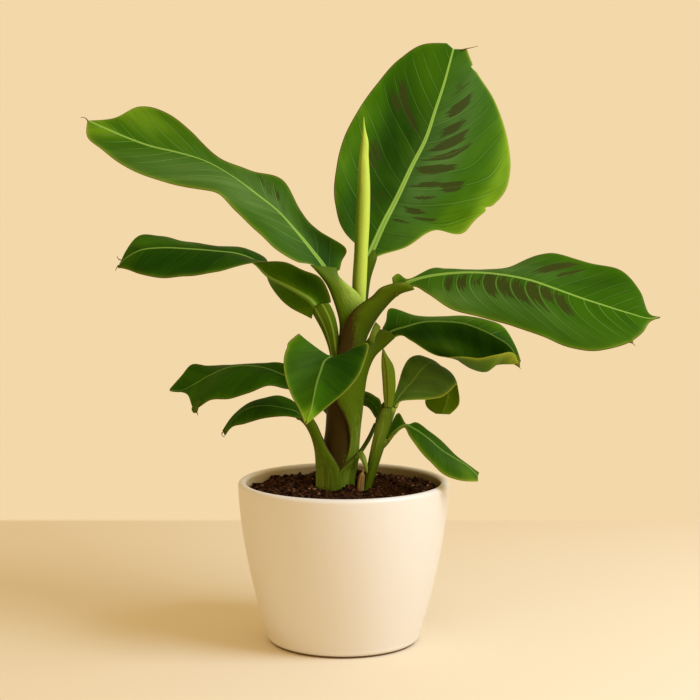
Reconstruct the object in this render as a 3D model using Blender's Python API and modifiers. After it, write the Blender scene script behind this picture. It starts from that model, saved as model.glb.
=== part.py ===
"""A young banana plant and its offshoot in a round ceramic planter filled with potting soil.

Sizes and places in this file are millimetres, and a mesh is turned into metres when it is made. The origin
is the middle of the planter's foot, +Z is up, and the plant is seen from -Y with +X to the right.
"""

from dataclasses import dataclass
import math
import random

import bmesh
import bpy
import numpy as np

MM = 0.001
CLEARANCE = 0.3

# Planter: a turned bowl whose side swells towards the rim
RIM_RADIUS = 90.0
POT_HEIGHT = 138.5
BASE_RADIUS = 64.0
SWELL = 1.7
WALL = 7.0
FLOOR = 10.0
FOOT_RADIUS = 62.0
FOOT_HEIGHT = 1.5
BASE_ROUNDING = 4.0
POT_STEPS = 40
SIDE_LEVELS = 8

# Soil: it fills the planter to a little under the rim and is heaped round the stems
SOIL_EDGE = 125.5
SOIL_HEAP = 6.0
HEAP_SPREAD = 48.0
SOIL_RINGS = 13
CLOD_COUNT = 90
CLOD_RADIUS = (5.0, 9.0)
CLOD_HEIGHT = (1.2, 3.4)
CLOD_SEED = 7

# Buried feet of the two stems, and how far down they reach
STEM_FOOT = (-7.0, -1.0)
STEM_FOOT_RADIUS = 18.0
STEM_FOOT_DEPTH = 40.0
SHOOT_FOOT = (20.0, -12.0)
SHOOT_FOOT_RADIUS = 6.5
SHOOT_FOOT_DEPTH = 26.0
FOOT_TOP = 131.0
FOOT_SIDES = 24

# Leaf blades
BLADE = 1.0
STEPS = 2
ACROSS = (0.0, 0.14, 0.55, 1.0)
TROUGH_ACROSS = (0.0, 0.14, 0.42, 0.66, 0.86, 1.0)
RIB_SPREAD = 3.0
STALK_FOLD = math.radians(50)


@dataclass(frozen=True)
class Leaf:
    """A leaf held by three guide curves: the midrib from stalk to tip, and the margin on either side of it.

    The first points of the rib are the stalk, and the margins start where the blade does, one point for
    each rib point from there on. Left and right are as seen from the stalk with the upper face up. The
    sag is how far the middle of each half hangs below a straight line from midrib to margin, and across
    says where along that line the points of the blade lie.
    """

    name: str
    rib: tuple
    left: tuple
    right: tuple
    sag: tuple = (0.0, 0.0)
    stalk: float = 5.5
    rib_depth: tuple = (5.0, 1.4)
    across: tuple = ACROSS


UPRIGHT = Leaf(
    "leaf_upright",
    rib=(
        (12, 20, 276), (17, 22, 303), (23, 25, 330), (28, 28, 342), (37, 33, 361), (43, 37, 372),
        (49, 40, 384), (59, 47, 405), (71, 54, 428), (80, 61, 454), (88, 66, 478), (93, 69, 496),
        (96, 71, 507),
    ),
    left=(
        (19, 24, 330), (2, 20, 348), (-7, 22, 374), (-8, 24, 388), (-6, 28, 404), (0, 34, 428),
        (12, 42, 452), (29, 50, 476), (49, 58, 498), (71, 64, 511), (90, 70, 512),
    ),
    right=(
        (29, 25, 328), (52, 32, 335), (80, 43, 350), (100, 50, 347), (118, 56, 361), (139, 66, 379),
        (147, 73, 401), (144, 78, 431), (132, 80, 465), (115, 77, 491), (108, 74, 507),
    ),
    sag=(6.0, -3.0),
)

UPPER_LEFT = Leaf(
    "leaf_upper_left",
    rib=(
        (2, -10, 270), (-3, -11, 287), (-10, -8, 307), (-15, -4, 319), (-27, 2, 335), (-41, 8, 352),
        (-56, 14, 368), (-72, 19, 380), (-92, 24, 395), (-118, 28, 410), (-142, 30, 417),
        (-164, 30, 422), (-186, 28, 430), (-204, 26, 438), (-217, 24, 444),
    ),
    left=(
        (-23, -8, 321), (-39, -12, 326), (-57, -14, 337), (-72, -12, 351), (-88, -6, 366),
        (-106, 2, 382), (-134, 8, 388), (-160, 10, 396), (-184, 12, 408), (-203, 16, 421),
        (-217, 21, 433), (-218, 24, 442),
    ),
    right=(
        (-2, 4, 323), (2, 14, 336), (-22, 24, 351), (-37, 32, 368), (-51, 38, 392), (-80, 38, 402),
        (-112, 40, 416), (-132, 44, 436), (-152, 44, 451), (-176, 38, 456), (-197, 31, 446),
        (-216, 25, 444),
    ),
    sag=(-3.0, 3.0),
    stalk=7.0,
)

RIGHT = Leaf(
    "leaf_right",
    rib=(
        (23, -19, 277), (33, -22, 290), (46, -23, 304), (56, -23, 310), (69, -24, 314), (87, -26, 317),
        (112, -29, 318), (134, -33, 316), (154, -38, 312), (175, -43, 305), (195, -48, 298),
        (214, -52, 292), (234, -56, 286), (250, -59, 282),
    ),
    left=(
        (45, -16, 316), (54, -20, 312), (73, -12, 320), (87, -6, 321), (115, -1, 321), (139, 3, 321),
        (164, 2, 331), (184, -4, 331), (206, -12, 325), (229, -26, 320), (244, -42, 303),
        (250, -57, 284),
    ),
    right=(
        (47, -27, 301), (58, -27, 306), (69, -34, 301), (88, -44, 289), (116, -54, 282),
        (139, -62, 276), (162, -70, 268), (184, -75, 260), (206, -77, 258), (227, -75, 263),
        (242, -69, 272), (251, -61, 280),
    ),
    sag=(-2.0, -4.0),
    stalk=6.5,
)

MID_LEFT = Leaf(
    "leaf_mid_left",
    rib=(
        (-12, -14, 256), (-18, -18, 272), (-26, -21, 295), (-36, -22, 302), (-48, -24, 309),
        (-61, -27, 316), (-72, -31, 327), (-85, -35, 333), (-105, -38, 336), (-127, -41, 338),
        (-150, -44, 339), (-166, -46, 337), (-177, -46, 331), (-184, -46, 324),
    ),
    left=(
        (-11, -26, 298), (-18, -34, 313), (-33, -42, 321), (-48, -50, 328), (-69, -58, 328),
        (-88, -62, 324), (-107, -64, 320), (-127, -66, 317), (-148, -66, 316), (-165, -62, 319),
        (-176, -54, 322), (-184, -47, 323),
    ),
    right=(
        (-30, -14, 280), (-43, -6, 286), (-54, -2, 295), (-64, -2, 311), (-65, -6, 328),
        (-81, -10, 337), (-107, -14, 339), (-131, -17, 343), (-152, -20, 348), (-169, -27, 348),
        (-178, -38, 337), (-183, -46, 325),
    ),
    sag=(-2.0, -2.0),
)

MID_RIGHT = Leaf(
    "leaf_mid_right",
    rib=(
        (22, 9, 243), (29, 12, 252), (40, 16, 264), (53, 20, 268), (69, 24, 272), (88, 28, 272),
        (104, 31, 270), (118, 33, 265), (132, 35, 258), (144, 36, 250), (153, 33, 235),
    ),
    left=(
        (36, 20, 272), (40, 32, 283), (63, 42, 276), (88, 48, 275), (107, 52, 275), (125, 52, 271),
        (140, 50, 266), (149, 44, 252), (154, 34, 237),
    ),
    right=(
        (48, 14, 261), (57, 6, 258), (74, -2, 248), (87, -6, 245), (102, -6, 245), (116, -2, 244),
        (131, 6, 246), (144, 20, 246), (152, 32, 235),
    ),
    sag=(-2.0, 28.0),
    stalk=6.0,
    across=TROUGH_ACROSS,
)

FRONT = Leaf(
    "leaf_front",
    rib=(
        (1, -18, 228), (-1, -27, 239), (-5, -38, 248), (-10, -50, 250), (-15, -65, 248),
        (-18, -82, 242), (-21, -96, 234), (-23, -108, 225), (-25, -117, 216), (-29, -124, 207),
    ),
    left=(
        (1, -36, 252), (12, -38, 258), (20, -50, 261), (19, -68, 254), (13, -86, 240),
        (2, -101, 228), (-12, -114, 218), (-28, -124, 207),
    ),
    right=(
        (-10, -34, 250), (-35, -36, 267), (-46, -54, 258), (-48, -74, 246), (-45, -91, 234),
        (-40, -104, 224), (-34, -115, 215), (-30, -124, 207),
    ),
    sag=(2.0, 2.0),
    stalk=4.5,
)

LOW_LEFT = Leaf(
    "leaf_low_left",
    rib=(
        (-20, 9, 207), (-28, 12, 215), (-36, 14, 222), (-50, 17, 226), (-67, 21, 232),
        (-83, 24, 234), (-100, 27, 232), (-116, 29, 225), (-128, 30, 218), (-140, 30, 212),
        (-151, 30, 212),
    ),
    left=(
        (-35, 9, 214), (-48, 6, 216), (-64, 2, 219), (-80, 0, 214), (-96, -2, 209),
        (-113, 0, 207), (-128, 8, 199), (-136, 22, 210), (-151, 30, 211),
    ),
    right=(
        (-38, 18, 230), (-52, 24, 236), (-69, 32, 236), (-84, 38, 234), (-101, 43, 232),
        (-120, 45, 232), (-133, 42, 233), (-142, 37, 223), (-151, 31, 213),
    ),
    sag=(-3.0, -1.0),
    stalk=4.5,
)

LOWEST_LEFT = Leaf(
    "leaf_lowest_left",
    rib=(
        (-25, -13, 182), (-33, -17, 194), (-39, -20, 200), (-50, -25, 204), (-68, -31, 207),
        (-82, -37, 204), (-91, -41, 197), (-99, -44, 186),
    ),
    left=(
        (-37, -22, 195), (-48, -31, 198), (-67, -40, 197), (-82, -46, 194), (-91, -48, 192),
        (-98, -45, 184),
    ),
    right=(
        (-40, -15, 207), (-51, -12, 212), (-67, -16, 212), (-82, -24, 207), (-91, -34, 200),
        (-100, -43, 188),
    ),
    sag=(-1.0, -1.0),
    stalk=4.0,
)

SHOOT_BROAD = Leaf(
    "shoot_leaf_broad",
    rib=(
        (43, -5, 202), (46, -2, 208), (52, 3, 215), (60, 10, 223), (67, 18, 231), (75, 28, 236),
        (85, 38, 232), (92, 45, 221), (92, 46, 205), (87, 43, 189),
    ),
    left=(
        (43, 0, 210), (47, 8, 221), (51, 18, 232), (57, 28, 240), (67, 38, 241), (78, 50, 235),
        (82, 58, 221), (72, 55, 199), (81, 45, 189),
    ),
    right=(
        (48, -6, 207), (60, -10, 209), (72, -8, 209), (83, -2, 210), (92, 8, 215), (98, 22, 218),
        (100, 34, 209), (101, 40, 198), (93, 41, 189),
    ),
    sag=(-1.0, -3.0),
    stalk=3.0,
    rib_depth=(3.0, 1.2),
)

SHOOT_DROOPING = Leaf(
    "shoot_leaf_drooping",
    rib=(
        (38, -14, 176), (44, -18, 184), (52, -21, 189), (60, -25, 186), (71, -30, 179),
        (82, -34, 170), (94, -37, 163), (104, -39, 157), (112, -40, 149),
    ),
    left=(
        (46, -12, 198), (53, -20, 190), (61, -17, 191), (73, -18, 183), (86, -22, 172),
        (98, -28, 162), (107, -34, 156), (113, -39, 152),
    ),
    right=(
        (43, -20, 181), (51, -22, 187), (55, -30, 181), (62, -38, 172), (72, -43, 162),
        (84, -46, 151), (98, -45, 146), (112, -42, 145),
    ),
    sag=(-1.0, -2.0),
    stalk=2.6,
    rib_depth=(2.6, 1.2),
)

SHOOT_BACK = Leaf(
    "shoot_leaf_back",
    rib=((30, 2, 192), (29, 5, 198), (24, 12, 204), (18, 22, 206), (10, 32, 201), (3, 38, 190)),
    left=((27, 3, 192), (22, 8, 199), (16, 19, 200), (8, 28, 195), (2, 37, 189)),
    right=((32, 7, 204), (27, 15, 209), (20, 27, 211), (12, 36, 209), (4, 39, 192)),
    sag=(-1.0, -1.0),
    stalk=2.4,
    rib_depth=(2.4, 1.2),
)


@dataclass(frozen=True)
class Shoot:
    """A round tapering stem or stalk: points along its middle, each with the radius there."""

    path: tuple
    radii: tuple


STEM = Shoot(
    path=(
        (-6, 0, 118), (-6, 0, 132), (-4, 0, 147), (-1, 0, 165), (0, 0, 186), (1, 0, 204),
        (3, 0, 220), (5, 0, 237), (6, -2, 250), (7, -2, 263),
    ),
    radii=(16.0, 16.0, 15.5, 14.7, 14.4, 14.6, 14.4, 14.0, 13.0, 9.0),
)
LEFT_SHEATH = Shoot(
    path=((-11, -4, 128), (-14, -6, 148), (-17, -9, 163), (-22, -11, 174), (-24.6, -12.7, 180.8)),
    radii=(8.5, 8.5, 6.8, 5.0, 4.0),
)
STALK_STUBS = (
    Shoot(path=((6, -2, 248), (2.4, -9, 263), (2.2, -9.6, 268.6)), radii=(8.0, 6.5, 5.5)),
    Shoot(path=((6, -4, 240), (14, -13, 262), (22.4, -18.6, 275.8)), radii=(9.0, 8.0, 6.0)),
    Shoot(path=((6, 4, 246), (10.5, 18, 264), (11.8, 20, 275)), radii=(8.0, 6.0, 5.0)),
    Shoot(path=((2, -4, 226), (-9, -11, 247), (-11.8, -13.6, 255)), radii=(8.0, 6.0, 5.0)),
    Shoot(path=((6, 2, 214), (15, 6, 230), (21.3, 8.6, 242.2)), radii=(9.0, 6.5, 5.5)),
    Shoot(path=((2, -6, 204), (1.4, -14, 222), (1, -17.6, 227.2)), radii=(8.0, 5.0, 4.2)),
    Shoot(path=((-1, 4, 184), (-14, 7.5, 201), (-19.4, 8.8, 206.4)), radii=(7.0, 5.0, 4.2)),
    Shoot(path=((7, -1, 250), (12.3, 5.5, 263), (12.9, 6, 272.1)), radii=(8.0, 6.0, 4.4)),
)
SIDE_STALK = Shoot(path=((6, 3, 140), (12, 7, 159), (19, 10, 171), (27, 13, 188)), radii=(3.5, 3.0, 2.6, 1.8))

SHOOT_STEM = Shoot(
    path=(
        (20, -12, 118), (20, -12, 133), (23, -12, 149), (27, -11, 166), (31, -10, 182),
        (35, -9, 194), (36.9, -9.3, 202.2),
    ),
    radii=(4.8, 4.8, 5.2, 5.6, 6.0, 5.2, 3.2),
)
SHOOT_STUBS = (
    Shoot(path=((35, -9, 184), (40.6, -6.4, 197), (42.65, -5.2, 201.3)), radii=(4.0, 3.0, 2.6)),
    Shoot(path=((32, -8, 181), (31, -3, 187), (30.4, 0.2, 190)), radii=(3.5, 2.5, 1.9)),
    Shoot(path=((30, -10, 168), (36, -13, 173.6), (37.6, -13.8, 175.4)), radii=(3.5, 2.8, 2.5)),
)
DRY_SHEATH = Shoot(
    path=((17.5, -14.5, 130), (15, -18, 140), (18, -18.5, 149), (16, -19, 157), (12, -19.4, 164)),
    radii=(2.4, 2.4, 1.8, 1.2, 0.8),
)

SPEAR = Shoot(
    path=(
        (13, 6, 273), (14, 6, 290), (14.5, 6, 312), (15, 6, 335), (16, 6, 361), (17, 6, 389),
        (17.4, 6, 413), (17.6, 6, 430), (17, 6, 446),
    ),
    radii=(4.4, 5.0, 5.9, 6.0, 6.1, 5.5, 4.0, 2.4, 0.7),
)
SHOOT_SPEAR = Shoot(
    path=((37, -9.5, 203), (37.6, -9.5, 209), (38.6, -9, 224), (37.4, -8, 236), (35, -8, 245), (33, -8, 253)),
    radii=(3.0, 3.8, 5.0, 4.0, 2.6, 0.8),
)


@dataclass(frozen=True)
class Finish:
    """A plain surface: its colour as linear red, green and blue, and its roughness."""

    name: str
    colour: tuple
    roughness: float


GLAZE = Finish("cream_glaze", (0.82, 0.71, 0.54), 0.35)
EARTH = Finish("potting_soil", (0.035, 0.018, 0.010), 0.95)
STEM_GREEN = Finish("stem_green", (0.12, 0.17, 0.02), 0.45)
YOUNG_GREEN = Finish("young_green", (0.42, 0.50, 0.10), 0.40)
LEAF_GREEN = Finish("leaf_green", (0.045, 0.16, 0.018), 0.38)


def clear_scene():
    """Removes every object of the scene that the script starts in."""
    for thing in list(bpy.data.objects):
        bpy.data.objects.remove(thing, do_unlink=True)


def new_collection(name):
    """A collection of that name, linked to the scene."""
    made = bpy.data.collections.new(name)
    bpy.context.scene.collection.children.link(made)
    return made


def material(finish):
    """A Principled material of that finish, made once."""
    made = bpy.data.materials.get(finish.name)
    if made is None:
        made = bpy.data.materials.new(finish.name)
        made.use_nodes = True
        shader = made.node_tree.nodes["Principled BSDF"]
        shader.inputs["Base Color"].default_value = (*finish.colour, 1.0)
        shader.inputs["Roughness"].default_value = finish.roughness
        shader.inputs["Metallic"].default_value = 0.0
        made.diffuse_color = (*finish.colour, 1.0)
    return made


def add_object(name, mesh, home, finish):
    """An object for the mesh, in the collection and with the finish."""
    made = bpy.data.objects.new(name, mesh)
    home.objects.link(made)
    mesh.materials.clear()
    mesh.materials.append(material(finish))
    return made


def baked(source, name, home, finish):
    """A plain mesh object of what the source looks like with its modifiers, and the source removed."""
    bpy.context.view_layer.update()
    graph = bpy.context.evaluated_depsgraph_get()
    mesh = bpy.data.meshes.new_from_object(source.evaluated_get(graph))
    mesh.name = name
    place = source.matrix_world.copy()
    bpy.data.objects.remove(source, do_unlink=True)
    welder = bmesh.new()
    welder.from_mesh(mesh)
    bmesh.ops.remove_doubles(welder, verts=welder.verts, dist=CLEARANCE * MM / 10)
    welder.to_mesh(mesh)
    welder.free()
    made = add_object(name, mesh, home, finish)
    made.matrix_world = place
    return made


def guide(points, knots, at):
    """Places on the smooth curve through the points, whose knots say how far along each of them is.

    Each stretch is a cubic that leaves a point in the mean direction of the two stretches that meet there.
    """
    points = np.asarray(points, float)
    steps = np.diff(knots)[:, None]
    runs = np.diff(points, axis=0) / steps
    lean = np.empty_like(points)
    lean[1:-1] = (runs[:-1] * steps[1:] + runs[1:] * steps[:-1]) / (steps[:-1] + steps[1:])
    lean[0] = 1.5 * runs[0] - 0.5 * lean[1]
    lean[-1] = 1.5 * runs[-1] - 0.5 * lean[-2]
    low = np.clip(np.searchsorted(knots, at, side="right") - 1, 0, len(knots) - 2)
    step = steps[low]
    t = ((at - knots[low])[:, None]) / step
    return (
        (1 + 2 * t) * (1 - t) ** 2 * points[low]
        + t * (1 - t) ** 2 * step * lean[low]
        + t**2 * (3 - 2 * t) * points[low + 1]
        + t**2 * (t - 1) * step * lean[low + 1]
    )


def knots_of(points):
    """How far along the straight runs between them each point is."""
    runs = np.linalg.norm(np.diff(np.asarray(points, float), axis=0), axis=1)
    return np.concatenate([[0.0], np.cumsum(runs)])


def between(knots, steps):
    """Places along the knots: each of them, and as many more as cut every stretch into that many steps."""
    parts = [np.linspace(a, b, steps, endpoint=False) for a, b in zip(knots[:-1], knots[1:])]
    return np.concatenate([*parts, knots[-1:]])


def unit(vectors):
    """The vectors at length one."""
    return vectors / np.linalg.norm(vectors, axis=-1, keepdims=True)


def margins(leaf):
    """The leaf's left and right guide points, with those of the folded stalk worked out from its rib."""
    rib = np.asarray(leaf.rib, float)
    left = np.asarray(leaf.left, float)
    right = np.asarray(leaf.right, float)
    stalk_points = len(rib) - len(left)
    across = unit(right[0] - left[0])
    made_left, made_right = [], []
    for i in range(stalk_points):
        along = unit(rib[i + 1] - rib[i])
        side = unit(across - (across @ along) * along)
        upward = np.cross(side, along)
        out = leaf.stalk * math.cos(STALK_FOLD) * side
        rise = leaf.stalk * math.sin(STALK_FOLD) * upward
        made_left.append(rib[i] - out + rise)
        made_right.append(rib[i] + out + rise)
    return np.vstack([*made_left, left]), np.vstack([*made_right, right])


def blade_surface(leaf):
    """The leaf's upper face as rows of points across it, and the thickness of the leaf at each.

    Across each half the face is a parabola from midrib to margin, pulled down by the sag, which grows
    from nothing at either end of the blade. The thickness is that of the blade plus a keel under the
    midrib, which thins towards the tip.
    """
    knots = knots_of(leaf.rib)
    at = between(knots, STEPS)
    rib = guide(leaf.rib, knots, at)
    along = unit(np.gradient(rib, axis=0))
    how_far = (at - at[0]) / (at[-1] - at[0])
    start = knots[len(leaf.rib) - len(leaf.left)]
    open_blade = np.sin(np.pi * np.clip((at - start) / (at[-1] - start), 0, 1))
    keel = leaf.rib_depth[0] + (leaf.rib_depth[1] - leaf.rib_depth[0]) * how_far**0.5
    halves = []
    for edge_points, sign, sag in zip(margins(leaf), (-1, 1), leaf.sag):
        edge = guide(edge_points, knots, at)
        chord = edge - rib
        width = np.linalg.norm(chord, axis=1, keepdims=True)
        down = -unit(np.cross(sign * chord, along))
        face, depth = [], []
        for s in leaf.across:
            dip = 4 * s * (1 - s) * sag * open_blade[:, None]
            face.append(rib + s * chord + dip * down)
            depth.append(BLADE + (keel - BLADE) * np.exp(-((s * width[:, 0] / RIB_SPREAD) ** 2)))
        halves.append((face, depth))
    (left_face, left_depth), (right_face, right_depth) = halves
    face = np.stack([*left_face[:0:-1], *right_face], axis=1)
    depth = np.stack([*left_depth[:0:-1], *right_depth], axis=1)
    return face, depth


def make_leaf(leaf, home):
    """A leaf: a grid bent to the leaf's upper face, cut into triangles, and thickened downwards."""
    face, depth = blade_surface(leaf)
    rows, columns = depth.shape
    sheet = bmesh.new()
    bmesh.ops.create_grid(sheet, x_segments=rows - 1, y_segments=columns - 1, size=1.0)
    sheet.verts.ensure_lookup_table()
    weights = sheet.verts.layers.deform.verify()
    thickest = depth.max()
    for vertex in sheet.verts:
        row = round((vertex.co.x + 1) / 2 * (rows - 1))
        column = round((1 - vertex.co.y) / 2 * (columns - 1))
        vertex.co = face[row, column] * MM
        vertex[weights][0] = depth[row, column] / thickest
    bmesh.ops.triangulate(sheet, faces=sheet.faces, quad_method="SHORT_EDGE")
    mesh = bpy.data.meshes.new(leaf.name)
    sheet.to_mesh(mesh)
    sheet.free()
    made = add_object(leaf.name, mesh, home, LEAF_GREEN)
    made.vertex_groups.new(name="thickness")
    shell = made.modifiers.new("thickness", "SOLIDIFY")
    shell.thickness = thickest * MM
    shell.offset = -1.0
    shell.vertex_group = "thickness"
    shell.thickness_vertex_group = 0.0
    mesh.shade_smooth()
    return made


def make_tube(name, shoot, home, finish, sides=8):
    """A round tapering stalk: a curve through the shoot's points with a bevel and closed ends."""
    knots = knots_of(shoot.path)
    at = between(knots, STEPS)
    points = guide(shoot.path, knots, at)
    radii = np.interp(at, knots, shoot.radii)
    curve = bpy.data.curves.new(name, "CURVE")
    curve.dimensions = "3D"
    curve.bevel_depth = MM
    curve.bevel_resolution = (sides - 4) // 2
    curve.use_fill_caps = True
    line = curve.splines.new("POLY")
    line.points.add(len(points) - 1)
    for place, point, radius in zip(line.points, points, radii):
        place.co = (*(point * MM), 1.0)
        place.radius = radius
    guide_line = bpy.data.objects.new(name, curve)
    home.objects.link(guide_line)
    made = baked(guide_line, name, home, finish)
    made.data.shade_smooth()
    return made


def make_foot(name, centre, radius, top, bottom, home, finish):
    """An upright round peg between two heights."""
    solid = bmesh.new()
    bmesh.ops.create_cone(
        solid,
        cap_ends=True,
        segments=FOOT_SIDES,
        radius1=radius * MM,
        radius2=radius * MM,
        depth=(top - bottom) * MM,
    )
    mesh = bpy.data.meshes.new(name)
    solid.to_mesh(mesh)
    solid.free()
    made = add_object(name, mesh, home, finish)
    made.location = (centre[0] * MM, centre[1] * MM, (top + bottom) / 2 * MM)
    return made


def join(name, first, others, home, finish):
    """One solid of the first object and all the others, which are removed."""
    group = bpy.data.collections.new(name + "_pieces")
    bpy.context.scene.collection.children.link(group)
    for other in others:
        for holder in list(other.users_collection):
            holder.objects.unlink(other)
        group.objects.link(other)
    union = first.modifiers.new("join", "BOOLEAN")
    union.operation = "UNION"
    union.operand_type = "COLLECTION"
    union.collection = group
    union.solver = "EXACT"
    made = baked(first, name, home, finish)
    for other in others:
        bpy.data.objects.remove(other, do_unlink=True)
    bpy.data.collections.remove(group)
    made.name = name
    made.data.shade_smooth()
    return made


def make_stem(home):
    """The main stem: its buried foot, the column of sheaths, the lowest leaf's sheath and the stalks' stubs."""
    foot = make_foot(
        "stem_foot", STEM_FOOT, STEM_FOOT_RADIUS, FOOT_TOP, FOOT_TOP - STEM_FOOT_DEPTH, home, STEM_GREEN
    )
    column = make_tube("column", STEM, home, STEM_GREEN, sides=16)
    others = [column, make_tube("left_sheath", LEFT_SHEATH, home, STEM_GREEN, sides=12)]
    others.append(make_tube("side_stalk", SIDE_STALK, home, STEM_GREEN))
    for number, stub in enumerate(STALK_STUBS):
        others.append(make_tube(f"stub_{number}", stub, home, STEM_GREEN, sides=10))
    return join("main_stem", foot, others, home, STEM_GREEN)


def make_shoot_stem(home):
    """The offshoot's stem: its buried foot, its stalks' stubs and the withered sheath at its base."""
    foot = make_foot(
        "shoot_foot", SHOOT_FOOT, SHOOT_FOOT_RADIUS, FOOT_TOP, FOOT_TOP - SHOOT_FOOT_DEPTH, home, STEM_GREEN
    )
    others = [make_tube("shoot_column", SHOOT_STEM, home, STEM_GREEN, sides=12)]
    others.append(make_tube("dry_sheath", DRY_SHEATH, home, STEM_GREEN, sides=6))
    for number, stub in enumerate(SHOOT_STUBS):
        others.append(make_tube(f"shoot_stub_{number}", stub, home, STEM_GREEN))
    return join("shoot_stem", foot, others, home, STEM_GREEN)


def pot_radius(height):
    """The planter's outer radius at that height: it swells quickly above the base and slowly at the rim."""
    return RIM_RADIUS - (RIM_RADIUS - BASE_RADIUS) * (1 - height / POT_HEIGHT) ** SWELL


def arc(centre, radius, start, stop, steps):
    """Points of a profile's round corner, between two angles in degrees."""
    angles = np.radians(np.linspace(start, stop, steps + 1))
    return [(centre[0] + radius * math.cos(a), centre[1] + radius * math.sin(a)) for a in angles]


def turned(name, profile, home, finish):
    """A solid of revolution of the profile's (radius, height) points, which run down its outer side."""
    outline = bmesh.new()
    places = [outline.verts.new((radius * MM, 0, height * MM)) for radius, height in profile]
    for first, second in zip(places[:-1], places[1:]):
        outline.edges.new((first, second))
    mesh = bpy.data.meshes.new(name)
    outline.to_mesh(mesh)
    outline.free()
    made = add_object(name, mesh, home, finish)
    spin = made.modifiers.new("turn", "SCREW")
    spin.angle = 2 * math.pi
    spin.steps = POT_STEPS
    spin.render_steps = POT_STEPS
    spin.use_merge_vertices = True
    spin.merge_threshold = 0.0001
    spin.use_smooth_shade = True
    return made


def make_pot(home):
    """The planter: a rounded rim, a wall of one thickness, a thick floor and a shallow foot."""
    lip = WALL / 2
    shoulder = POT_HEIGHT - lip
    levels = np.linspace(shoulder, BASE_ROUNDING + FOOT_HEIGHT, SIDE_LEVELS)
    inner = [(pot_radius(h) - WALL, h) for h in np.linspace(FLOOR, shoulder, SIDE_LEVELS)]
    rim = arc((pot_radius(shoulder) - lip, shoulder), lip, 180, 0, 6)
    outer = [(pot_radius(h), h) for h in levels[1:]]
    low = pot_radius(BASE_ROUNDING + FOOT_HEIGHT) - BASE_ROUNDING
    corner = arc((low, BASE_ROUNDING + FOOT_HEIGHT), BASE_ROUNDING, 0, -90, 3)
    foot = [(FOOT_RADIUS, FOOT_HEIGHT), (FOOT_RADIUS, 0), (0, 0)]
    return turned("pot", [(0, FLOOR), *inner[:-1], *rim, *outer[:-1], *corner, *foot], home, GLAZE)


def clods():
    """Lumps of soil scattered over the top: the place, radius and height of each, by a seeded draw."""
    draw = random.Random(CLOD_SEED)
    lumps = []
    for _ in range(CLOD_COUNT):
        turn = draw.uniform(0, 2 * math.pi)
        reach = (RIM_RADIUS - WALL) * math.sqrt(draw.random())
        radius = draw.uniform(*CLOD_RADIUS)
        lumps.append((reach * math.cos(turn), reach * math.sin(turn), radius, draw.uniform(*CLOD_HEIGHT)))
    return np.array(lumps)


def soil_height(x, y, lumps):
    """How far the soil at (x, y) stands above its edge: a heap round the stems with round clods on it."""
    heap = SOIL_HEAP * math.exp(-(((x - STEM_FOOT[0]) ** 2 + (y - STEM_FOOT[1]) ** 2) / HEAP_SPREAD**2))
    away = ((x - lumps[:, 0]) ** 2 + (y - lumps[:, 1]) ** 2) / lumps[:, 2] ** 2
    return heap + float((lumps[:, 3] * np.sqrt(np.clip(1 - away, 0, None))).max())


def make_soil(home, cutters):
    """The soil: it fills the planter inside, its top is lumpy, and a plain hole holds each stem's foot."""
    reach = pot_radius(SOIL_EDGE) - WALL - CLEARANCE
    side = [(pot_radius(h) - WALL - CLEARANCE, h) for h in np.linspace(SOIL_EDGE, FLOOR + CLEARANCE, 6)]
    top = [(reach * i / SOIL_RINGS, SOIL_EDGE) for i in range(SOIL_RINGS)]
    body = turned("soil_body", [*top, *side, (0, FLOOR + CLEARANCE)], home, EARTH)
    made = baked(body, "soil", home, EARTH)
    lumps = clods()
    for vertex in made.data.vertices:
        x, y, z = vertex.co / MM
        if z > SOIL_EDGE - CLEARANCE and math.hypot(x, y) < reach - CLEARANCE:
            vertex.co.z += soil_height(x, y, lumps) * MM
    feet = (
        ("stem_hole", STEM_FOOT, STEM_FOOT_RADIUS, STEM_FOOT_DEPTH),
        ("shoot_hole", SHOOT_FOOT, SHOOT_FOOT_RADIUS, SHOOT_FOOT_DEPTH),
    )
    for name, centre, radius, depth in feet:
        bottom = FOOT_TOP - depth - CLEARANCE
        hole = make_foot(name, centre, radius + CLEARANCE, POT_HEIGHT + WALL, bottom, cutters, EARTH)
        hole.hide_render = True
        hole.display_type = "WIRE"
        cut = made.modifiers.new(name, "BOOLEAN")
        cut.operation = "DIFFERENCE"
        cut.object = hole
        cut.solver = "EXACT"
    made.data.set_sharp_from_angle(angle=math.radians(50))
    return made


def main():
    """Builds the planter, the soil, the two stems and every leaf."""
    clear_scene()
    plant = new_collection("potted_banana_plant")
    cutters = new_collection("cutters")
    make_pot(plant)
    make_soil(plant, cutters)
    make_stem(plant)
    make_shoot_stem(plant)
    make_tube("rolled_leaf", SPEAR, plant, YOUNG_GREEN, sides=12)
    make_tube("shoot_rolled_leaf", SHOOT_SPEAR, plant, YOUNG_GREEN, sides=10)
    for leaf in (UPRIGHT, UPPER_LEFT, RIGHT, MID_LEFT, MID_RIGHT, FRONT, LOW_LEFT, LOWEST_LEFT):
        make_leaf(leaf, plant)
    for leaf in (SHOOT_BROAD, SHOOT_DROOPING, SHOOT_BACK):
        make_leaf(leaf, plant)


main()
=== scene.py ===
"""The finished look of a potted banana plant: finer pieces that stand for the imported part's nodes.

Sizes and places are millimetres in the part's frame, and a mesh is turned into metres when it is made. The
origin is the middle of the planter's foot, +Z is up, and the plant is seen from -Y with +X to the right.
"""

import logging
import math
from collections.abc import Callable
from dataclasses import dataclass, field
from enum import Enum

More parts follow.
